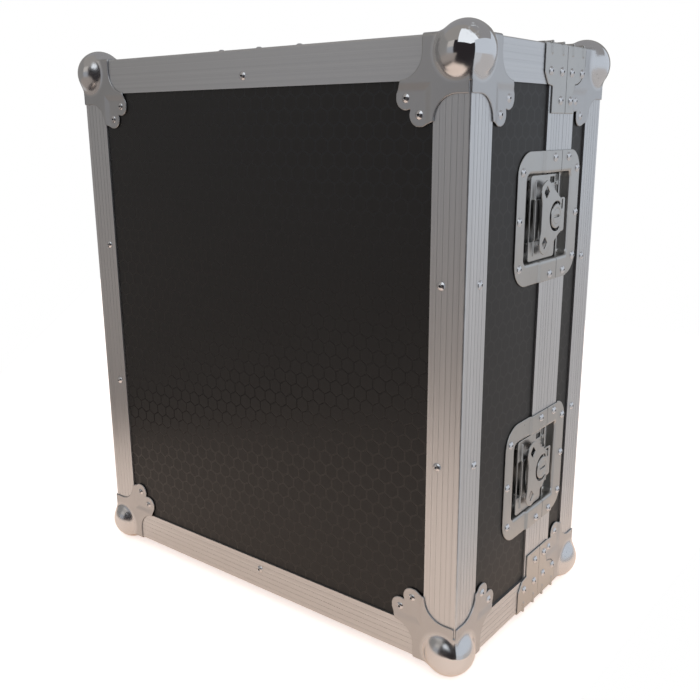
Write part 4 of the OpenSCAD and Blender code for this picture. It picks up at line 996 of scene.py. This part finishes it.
def wing_shape(p):
    x, y, z = p[:, 0], np.abs(p[:, 1]), p[:, 2]
    left = -wing_back - wing_round
    cheek_at = (wing_round * wing_cheek[0] - wing_back, wing_round * wing_cheek[1] + wing_half)
    corners = [(left + wing_waist, -1), (left + wing_waist, wing_half / 2), (left, wing_half),
               (-wing_back, wing_half + wing_round), cheek_at,
               (pin_place[0], hook_half), (pin_place[0], -1)]
    end = disc_2d(x, y, -wing_back, wing_half, wing_round)
    outline = soft_min(polygon_2d(x, y, corners), end, wing_cheek_soft)
    outline = np.maximum(outline, wing_cut - np.hypot(x, y))
    room = knuckle_radius + gap
    between = box_2d(x, y, pin_place[0] - room, pin_place[0] + room, -knuckle_from, knuckle_from)
    outline = np.maximum(outline, -between)
    dx, dy = diamond_half
    points = [(-wing_back + i * dx, wing_half + j * dy) for i, j in ((-1, 0), (0, -1), (1, 0), (0, 1))]
    outline = soft_max(outline, diamond_round - polygon_2d(x, y, points), diamond_edge)
    middle, half_thick = (wing_low + wing_high) / 2, (wing_high - wing_low) / 2
    steel = soft_max(outline, np.abs(z - middle) - half_thick, thin_edge)
    across_pin = np.hypot(x - pin_place[0], z - pin_place[1])
    along_pin = np.abs(y - (knuckle_from + knuckle_half) / 2) - (knuckle_half - knuckle_from) / 2
    knuckle = np.maximum(across_pin - knuckle_radius, along_pin)
    return np.maximum(soft_min(steel, knuckle, weld), pin_room - across_pin)


wing_box, wing_cell = ((-30, -31, 0), (10.5, 31, 4.5)), 0.45
wing = skin("latch_wing", wing_shape, *wing_box, wing_cell, formed_keep)

# %% [markdown]
# Every piece of the latch was written down from the same axes, with the hub in the
# middle. Both latches get the four pieces. The carrier rides the base, and each of the
# others rides its own body.

# %% Set the latches
hub_back = 9
for kind, drawn in (("carrier", carrier), ("hub", hub), ("hook", hook), ("wing", wing)):
    for word, height in latch_heights.items():
        rider = "base" if kind == "carrier" else f"{word}_{kind}"
        place_drawn(f"{word}_latch_{kind}_formed", drawn, [at_latch(height, hub_back)], rider,
                    "latch_steel", plated, [f"{word}_latch_{kind}"])
print("latches at heights in mm:", {word: round(z / mm, 1) for word, z in latch_heights.items()})

# %% [markdown]
# On the top, over the cross edge, lies the carrying handle in its own drawn dish.
# The bail folds flat into the dish, and two small springs pull it down. The dish has
# the same kind of form as the latch dishes: a rim, a step and a tray.

# %% Handle dish
grip_size, grip_in, grip_round = (140, 105), 12, 12
grip_open, grip_open_mid, grip_recess = (112, 64), 70, 24
bail_place, bail_room = (47, -9), 3.55


def grip_dish_shape(p):
    x, y, z = p[:, 0], p[:, 1], p[:, 2]
    level = sheet - leg_thick * smooth_step(y, leg_width + gap, leg_width + gap + dish_crease)
    opening = box_2d(x, y, -grip_open[0] / 2, grip_open[0] / 2, grip_open_mid - grip_open[1] / 2,
                     grip_open_mid + grip_open[1] / 2, dish_open_round)
    tray = soft_max(opening, -grip_recess - z, tray_bend)
    steel = skin_of(soft_max(z - level, -tray, rim_bend))
    half = grip_size[0] / 2
    outline = box_2d(x, y, -half, half, grip_in, grip_in + grip_size[1], grip_round)
    steel = soft_max(steel, outline, edge_soft)
    return np.maximum(steel, bail_room - np.hypot(y - bail_place[0], z - bail_place[1]))


on_top = Matrix.Translation((case_mid.x, case_low.y, case_high.z))
beside_dish, below_dish, grip_cell = 2, 3, 1.0
low = (-grip_size[0] / 2 - beside_dish, grip_in - beside_dish, -grip_recess - below_dish)
high = (grip_size[0] / 2 + beside_dish, grip_in + grip_size[1] + beside_dish, below_dish)
drawn = skin("grip_dish", grip_dish_shape, low, high, grip_cell, pressed_keep)
place_drawn("handle_dish_drawn", drawn, [on_top], "base", "latch_steel", plated, ["handle_dish"])

# %% [markdown]
# Round pieces are turned: an outline is swung round an axis. Blender's Screw modifier
# does that to a line of vertices. The next helper does it in numbers and works out the
# normals from the outline's own slope, so that a small dome needs few faces.

# %% Turn an outline
def turned(profile, segments):
    """Vertices, faces and normals of (radius, height) points swung round z."""
    profile = np.array(profile, float)
    slope = np.gradient(profile, axis=0)
    slope /= np.maximum(np.linalg.norm(slope, axis=1), tiny)[:, None]
    angle = np.arange(segments) * 2 * math.pi / segments
    ring = np.stack([np.cos(angle), np.sin(angle)], 1)
    verts = np.concatenate([np.c_[r * ring, np.full(segments, h)] for r, h in profile])
    normals = np.concatenate([np.c_[t[1] * ring, np.full(segments, -t[0])] for t in slope])
    faces = []
    for i in range(len(profile) - 1):
        a, b = i * segments + np.arange(segments), i * segments + (np.arange(segments) + 1) % segments
        faces.append(np.stack([a, b, b + segments], 1))
        faces.append(np.stack([a, b + segments, a + segments], 1))
    return verts, np.concatenate(faces), normals


print("a cone of 12 sides has", len(turned([(1, 0), (0, 1)], 12)[1]), "faces")

# %% [markdown]
# More than a hundred rivets hold the case together, and each sits where the frame has
# one. All the rivets of one kind are one mesh there. So the next helper parts it:
# points that are joined by edges belong to one solid. It gives every point the least
# number among its neighbours, again and again, until each solid has one number.

# %% Find the separate solids of a node
def solid_boxes(node):
    """The lowest and highest corner of each separate solid of a node."""
    mesh = nodes[node].data
    co = np.empty(len(mesh.vertices) * 3)
    mesh.vertices.foreach_get("co", co)
    turn, move = rigid(nodes[node].matrix_world)
    co = co.reshape(-1, 3) @ turn.T + move
    edges = np.empty(len(mesh.edges) * 2, int)
    mesh.edges.foreach_get("vertices", edges)
    # points within a fiftieth of a millimetre count as one, so split normals do no harm
    _, same = np.unique(np.round(co / mm * 50), axis=0, return_inverse=True)
    same = same.ravel()
    edges = same[edges.reshape(-1, 2)]
    label = np.arange(same.max() + 1)
    while True:
        least = label.copy()
        np.minimum.at(least, edges[:, 0], label[edges[:, 1]])
        np.minimum.at(least, edges[:, 1], label[edges[:, 0]])
        least = least[least]
        if (least == label).all():
            break
        label = least
    owner = label[same]
    return [(co[owner == k].min(0), co[owner == k].max(0)) for k in np.unique(owner)]


print("solids of the springs:", len(solid_boxes("handle_springs")))

# %% [markdown]
# The rivets are blind rivets. Setting one pulls a steel pin through its head until the
# pin snaps. So each bright dome has a hole in the middle, with the broken end of the
# pin at its bottom. The hole's wall and the pin end are painted near black, as painted
# shade of the hole. A rivet's box tells its place, and its thinnest side tells which
# way it points.

# %% Rivets
rivet_height = 2.0
rivet_outline = [(3.45, -0.05), (3.5, 0.1), (3.46, 0.34), (3.25, 0.66), (2.85, 1.03), (2.35, 1.38),
                 (1.85, 1.66), (1.45, 1.87), (1.2, 1.97), (1.02, 1.93), (0.95, 1.75), (0.92, 1.3),
                 (0.9, 0.8), (0.85, 1.1), (0.7, 1.2), (0.35, 1.23), (0.0, 1.2)]
hole_shade_from, rivet_segments = 10, 24
rivet_nodes = ["base_edge_rivets", "base_corner_rivets", "base_latch_rivets", "handle_rivets",
               "lid_rivets"]
rivet_drawn = turned(rivet_outline, rivet_segments)
# the hole's wall and the pin end take the second, near-black finish: painted shade in the hole
rivet_finish = (np.repeat(np.arange(len(rivet_outline) - 1), 2 * rivet_segments) >= hole_shade_from).astype(int)


def rivet_place(low, high):
    size, middle = high - low, (low + high) / 2
    axis = int(np.argmin(size))
    outward = 1 if middle[axis] > case_mid[axis] else -1
    place = middle.copy()
    place[axis] = (high if outward > 0 else low)[axis] - outward * rivet_height * mm
    turn = np.zeros((3, 3))
    turn[axis, 2] = outward
    turn[(axis + 1) % 3, 0] = 1
    turn[(axis + 2) % 3, 1] = outward
    return Matrix.Translation(place) @ Matrix(turn).to_4x4()


for node in rivet_nodes:
    body = "lid" if node == "lid_rivets" else "base"
    places = [rivet_place(low, high) for low, high in solid_boxes(node)]
    joined = join_drawn(rivet_drawn, places)
    make_piece(node + "_turned", *joined, body, "rivets", [rivet_metal, pin_and_hole_shade], [node],
               np.tile(rivet_finish, len(places)))
    print(node, len(places))

# %% [markdown]
# The grip is a rubber tube with fine ribs, slipped over the bail before the bail was
# bent. Its outline is a row of points along it, with a wave for the ribs and round
# ends, and it is turned as the rivets are.

# %% Grip
rib_count, rib_depth, grip_end_round, grip_steps, grip_segments = 17, 0.55, 1.6, 240, 40
grip_low, grip_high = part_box("handle_grip")
grip_middle = (grip_low + grip_high) / 2
grip_half, grip_radius = (grip_high.x - grip_low.x) / 2 / mm, (grip_high.z - grip_low.z) / 2 / mm
grip_points = [(bail_room, -grip_half), (grip_radius - grip_end_round, -grip_half)]
for i in range(grip_steps + 1):
    along_grip = -grip_half + 2 * grip_half * i / grip_steps
    from_end = grip_half - abs(along_grip)
    rounded = max(0.0, 1 - from_end / grip_end_round)
    wave = (1 - math.cos(2 * math.pi * rib_count * i / grip_steps)) / 2
    radius = grip_radius - grip_end_round * (1 - math.sqrt(1 - rounded ** 2)) - rib_depth * wave ** 3
    grip_points.append((radius, along_grip))
grip_points += [(grip_radius - grip_end_round, grip_half), (bail_room, grip_half),
                (bail_room, -grip_half)]
along_x = Matrix(((0, 0, 1), (0, 1, 0), (-1, 0, 0))).to_4x4()
place_drawn("handle_grip_ribbed", turned(grip_points, grip_segments),
            [Matrix.Translation(grip_middle) @ along_x], "handle", "grip_rubber", rubber, ["handle_grip"])
print("grip in mm:", round(2 * grip_half, 1), "long and", round(2 * grip_radius, 1), "thick")

# %% [markdown]
# Each handle spring is wound from round wire. A ring of points follows a spiral, and
# each ring is joined to the next with faces. A curve with a round bevel would look the
# same. Written out, the wire's ends can be closed in the same step.

# %% Springs
wire_radius, coil_radius, coil_turns, coil_pitch, coil_rings, coil_sides = 0.6, 4.4, 3, 1.7, 40, 12


def wound_spring():
    verts, normals = [], []
    steps = coil_turns * coil_rings
    for i in range(steps + 1):
        angle = 2 * math.pi * i / coil_rings
        spoke = np.array((0, math.cos(angle), math.sin(angle)))
        centre = coil_radius * spoke + np.array((coil_pitch * (i / coil_rings - coil_turns / 2), 0, 0))
        for j in range(coil_sides):
            side = 2 * math.pi * j / coil_sides
            normal = math.cos(side) * spoke + math.sin(side) * np.array((1, 0, 0))
            verts.append(centre + wire_radius * normal)
            normals.append(normal)
    faces = []
    for i in range(steps):
        for j in range(coil_sides):
            a, b = i * coil_sides + j, i * coil_sides + (j + 1) % coil_sides
            faces += [(a, b, b + coil_sides), (a, b + coil_sides, a + coil_sides)]
    last = steps * coil_sides
    for j in range(1, coil_sides - 1):
        faces += [(0, j + 1, j), (last, last + j, last + j + 1)]
    return np.array(verts), np.array(faces), np.array(normals)


spring_places = [Matrix.Translation((low + high) / 2) for low, high in solid_boxes("handle_springs")]
place_drawn("handle_springs_wound", wound_spring(), spring_places, "base", "springs", spring_steel,
            ["handle_springs"])
print("springs:", len(spring_places), "of", coil_turns, "turns")

# %% [markdown]
# The lining is closed-cell foam, cut from sheet and glued to the walls. A knife leaves
# the edges a little round, and the faces stand a touch proud of their own edges. Each
# block is a box grid pushed to that form, inside the space of its solid. A loose
# cushion would be blown up as cloth, but cut foam is stiff and keeps its form.

# %% Foam blocks
foam_round, foam_crown, foam_fade, foam_parts = 2.5, 0.9, 9, 14
foam_weld = 0.01 * mm


def foam_block(low, high):
    low, high = np.array(low) / mm, np.array(high) / mm
    spread = np.sin(np.linspace(-math.pi / 2, math.pi / 2, foam_parts + 1))
    verts, faces, count = [], [], 0
    for axis in range(3):
        for side in (-1, 1):
            u, v = np.meshgrid(spread, spread, indexing="ij")
            p = np.empty((u.size, 3))
            p[:, axis], p[:, (axis + 1) % 3], p[:, (axis + 2) % 3] = side, u.ravel(), v.ravel()
            p = (low + high) / 2 + p * (high - low) / 2
            core = np.clip(p, low + foam_round, high - foam_round)
            outward = p - core
            outward /= np.maximum(np.linalg.norm(outward, axis=1), tiny)[:, None]
            edge = np.sort(np.minimum(p - low, high - p), axis=1)[:, 1]
            sink = foam_crown * np.exp(-edge / foam_fade)
            verts.append(core + outward * (foam_round - sink[:, None]))
            grid = np.arange(u.size).reshape(u.shape) + count
            quad = np.stack([grid[:-1, :-1], grid[1:, :-1], grid[1:, 1:], grid[:-1, 1:]], -1)
            quad = quad.reshape(-1, 4)
            faces.append(quad if side > 0 else quad[:, ::-1])
            count += u.size
    return np.concatenate(verts) * mm, np.concatenate(faces)


def foam_piece(name, node, body):
    build = bmesh.new()
    for low, high in solid_boxes(node):
        verts, faces = foam_block(low, high)
        new = [build.verts.new(v) for v in verts]
        for face in faces:
            build.faces.new([new[i] for i in face])
    bmesh.ops.remove_doubles(build, verts=build.verts, dist=foam_weld)
    mesh = bpy.data.meshes.new(name)
    build.to_mesh(mesh)
    build.free()
    mesh.materials.append(foam)
    mesh.shade_smooth()
    piece = bpy.data.objects.new(name, mesh)
    scene.collection.objects.link(piece)
    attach(piece, body)
    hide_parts(node)
    print(name, "faces:", len(mesh.polygons))


foam_piece("base_floor_lining", "base_floor_foam", "base")
foam_piece("base_wall_lining", "base_wall_foam", "base")
foam_piece("lid_lining", "lid_foam", "lid")

# %% [markdown]
# The photograph was taken from the base's big face and the latch side at once,
# slightly from above. The camera's place, turn and lens were worked out from the
# case's own corners, so that the render can be laid over the photograph.

# %% Camera
camera_place = Vector((508.8, -624.8, 432.8)) * mm
camera_turn, camera_tilt, camera_roll = (math.radians(a) for a in (-37.892, -14.790, -0.291))
photo_side, focal_in_pixels, sensor = 700, 845.87, 36

ahead = Vector((math.sin(camera_turn) * math.cos(camera_tilt),
                math.cos(camera_turn) * math.cos(camera_tilt), math.sin(camera_tilt)))
level = Vector((math.cos(camera_turn), -math.sin(camera_turn), 0))
upward = level.cross(ahead)
right = level * math.cos(camera_roll) + upward * math.sin(camera_roll)
up = upward * math.cos(camera_roll) - level * math.sin(camera_roll)
camera_data = bpy.data.cameras.new("camera")
camera_data.sensor_width = sensor
camera_data.lens = sensor * focal_in_pixels / photo_side
camera = bpy.data.objects.new("camera", camera_data)
camera.matrix_world = Matrix.Translation(camera_place) @ Matrix((right, up, -ahead)).transposed().to_4x4()
scene.collection.objects.link(camera)
scene.camera = camera
print("lens in mm:", round(camera_data.lens, 2))

# %% [markdown]
# The floor is a pale warm sheet that carries a soft shadow. Its edge runs slantwise
# in front of the case, as the table's edge in the photograph does, so the lower third
# of the panel mirrors something bright and the rest mirrors a dim room. A ray that
# comes straight from the camera, or off metal, sees some glow added to the sheet. It
# closes to white for the camera and stays warm in the metal. Past its edge the white
# world takes over.

# %% Floor and world
table_edge = [(-1.6, 0.872), (-0.12, -0.65), (0.30, -0.45)]
floor_back = 1.2
floor_corners = table_edge + [(table_edge[2][0], floor_back), (table_edge[0][0], floor_back)]
floor_mesh = bpy.data.meshes.new("studio_floor")
floor_mesh.from_pydata([(*corner, 0) for corner in floor_corners], [], [range(len(floor_corners))])
floor = bpy.data.objects.new("studio_floor", floor_mesh)
scene.collection.objects.link(floor)


def seen_share(tree):
    """1 for rays from the camera, off a gloss or through glass, else 0."""
    path = add_node(tree, "LightPath")
    seen = math_node(tree, "MAXIMUM", path.outputs["Is Camera Ray"], path.outputs["Is Glossy Ray"])
    return math_node(tree, "MAXIMUM", seen, path.outputs["Is Transmission Ray"])


floor_paint, tree, shader, _ = finish_of("studio_floor")
camera_ray = add_node(tree, "LightPath").outputs["Is Camera Ray"]
glow = blend_node(tree, camera_ray, (0.24, 0.15, 0.09, 1), (0.62, 0.60, 0.60, 1))
connect(tree, shader, base_color=(0.90, 0.78, 0.69, 1), roughness=0.9, specular_ior_level=0.0,
        emission_color=glow, emission_strength=seen_share(tree))
floor_mesh.materials.append(floor_paint)

world = bpy.data.worlds.new("studio_world")
scene.world = world
world.use_nodes = True
tree = world.node_tree
backdrop = tree.nodes["Background"]
tint = blend_node(tree, seen_share(tree), (0.80, 0.81, 0.84, 1), (1, 1, 1, 1))
tree.links.new(tint, backdrop.inputs["Color"])
backdrop.inputs["Strength"].default_value = 1.0
print("floor corners:", len(floor_corners), "world nodes:", len(tree.nodes))

# %% [markdown]
# Bright metal looks like what is round it. So the studio has walls, a ceiling and a
# ground of cards that only the metal and the film see: the camera and the matt
# surfaces don't. A picture of a room could be wrapped round the scene instead, but a
# few plain cards are easier to move until each reflection is where it should be.

# %% A card for reflections
def card(name, corners, colour):
    mesh = bpy.data.meshes.new(name)
    mesh.from_pydata(corners, [], [range(len(corners))])
    paint = bpy.data.materials.new(name)
    paint.use_nodes = True
    tree = paint.node_tree
    tree.nodes.clear()
    glow = add_node(tree, "Emission", {"Color": (*colour, 1), "Strength": 1.0})
    tree.links.new(glow.outputs[0], add_node(tree, "OutputMaterial").inputs[0])
    mesh.materials.append(paint)
    piece = bpy.data.objects.new(name, mesh)
    piece.visible_camera = False
    piece.visible_diffuse = False
    piece.visible_shadow = False
    scene.collection.objects.link(piece)


room, ceiling_z, ground_z = 3.0, 2.4, -0.02
outer, card_gap = 2 * room, 0.01


def wall(name, start, end, colour, low=ground_z, high=ceiling_z):
    card(name, [(*start, low), (*end, low), (*end, high), (*start, high)], colour)


def deck(name, start, end, z, colour):
    card(name, [(*start, z), (end[0], start[1], z), (*end, z), (start[0], end[1], z)], colour)


def ground(name, corners, colour):
    card(name, [(*corner, ground_z) for corner in corners], colour)


print("the room of cards is", 2 * room, "m wide and", ceiling_z, "m high")

# %% [markdown]
# The photograph tells how bright each card has to be. It is dark behind the camera,
# dim to the left, and bright and cool to the right. High up on the left the wall is
# brighter, which makes the profiles of the case's front paler towards the top. A bright
# window stands high in front and on the right, and its light goes on along the
# ceiling: that is the white shape on top of each ball.

# %% Walls and ceiling
dark, dim = (0.030, 0.026, 0.028), (0.39, 0.405, 0.435)
cool, ceiling_tone, back_ceiling = (0.68, 0.73, 0.80), (0.36, 0.34, 0.32), (0.34, 0.335, 0.34)
left_tone, warm_high, left_band = (0.29, 0.28, 0.27), (0.60, 0.565, 0.53), 1.1
window_light = (1.10, 1.15, 1.20)
dark_left, near_wall, back_split = -0.9, -1.65, 0.7
window_left, window_sill, window_near = -0.1, 1.9, 0.6
inner = room - card_gap
wall("room_front_left", (-room, -room), (dark_left, -room), dim, high=left_band)
wall("room_front_left_high", (-room, -room), (dark_left, -room), warm_high, low=left_band)
wall("room_front_dark", (dark_left, -room), (room, -room), dark)
wall("room_front_window", (window_left, -inner), (room, -inner), window_light, low=window_sill)
wall("room_right_near", (room, -room), (room, near_wall), dark)
wall("room_right_window", (inner, -room), (inner, near_wall), window_light, low=window_sill)
wall("room_right", (room, near_wall), (room, room), cool)
wall("room_back_cool", (room, room), (back_split, room), cool)
wall("room_back_dim", (back_split, room), (-room, room), left_tone)
wall("room_left", (-room, room), (-room, -room), left_tone)
deck("room_ceiling", (-room, -room), (room, 0), ceiling_z, ceiling_tone)
deck("room_ceiling_back", (-room, 0), (room, room), ceiling_z, back_ceiling)
deck("room_ceiling_light", (window_left, -room), (room, -window_near), ceiling_z - card_gap,
     window_light)
print("window from", window_sill, "m up to the ceiling")

# %% [markdown]
# Past the table's edge lies the ground. It is warm and dim on the left. In front and
# to the right a dark wedge lies on it, which gives the near ball its dark middle, and
# next to the wedge it is pale again. A dark strip follows the table's edge, which gives
# the row of dark hexagons above the bright part of the panel.

# %% Ground
warm_dim, pale_ground, right_ground = (0.37, 0.325, 0.295), (0.57, 0.545, 0.535), (0.62, 0.635, 0.66)
ahead_of_case, edge_shade = -0.1, 0.22
wedge_foot, wedge_end = (0.2, -0.11), (outer, -3.3)
deck("room_ground_left", (-outer, -outer), (ahead_of_case, case_low.y), ground_z, warm_dim)
ground("room_ground_dark", [(ahead_of_case, -outer), (outer, -outer), wedge_end, wedge_foot,
                            (ahead_of_case, wedge_foot[1])], dark)
ground("room_ground_right", [wedge_foot, wedge_end, (outer, wedge_foot[1])], right_ground)
deck("room_ground_back", (-outer, case_low.y), (outer, outer), ground_z, pale_ground)
for number in (0, 1):
    start, end = (Vector((*corner, ground_z + card_gap)) for corner in table_edge[number:number + 2])
    width = (end - start).cross(Vector((0, 0, 1))).normalized() * edge_shade
    card(f"table_shade_{number}", [start, end, end + width, start + width], dark)
print("strip along the table's edge in mm:", round(edge_shade / mm))

# %% [markdown]
# Two large soft lamps light the matt surfaces and give the case its shadow. They are
# out of sight for the metal, which has the cards. Their level is low, because the
# pale world round the scene lights the object too.

# %% Lamps
def lamp(name, place, target, size, power, colour):
    data = bpy.data.lights.new(name, "AREA")
    data.shape = "RECTANGLE"
    data.size, data.size_y = size
    data.energy = power
    data.color = colour
    piece = bpy.data.objects.new(name, data)
    piece.location = place
    piece.rotation_euler = (Vector(target) - Vector(place)).to_track_quat("-Z", "Y").to_euler()
    piece.visible_glossy = False
    scene.collection.objects.link(piece)


lamp("over_light", (1.1, -1.3, 2.2), (0, 0, 0.3), (1.2, 1.0), 10, (0.96, 0.98, 1.0))
lamp("right_soft", (2.4, 0.4, 1.0), (0, 0, 0.25), (1.0, 1.4), 6, (0.92, 0.95, 1.0))
print("lamps:", len(bpy.data.lights))
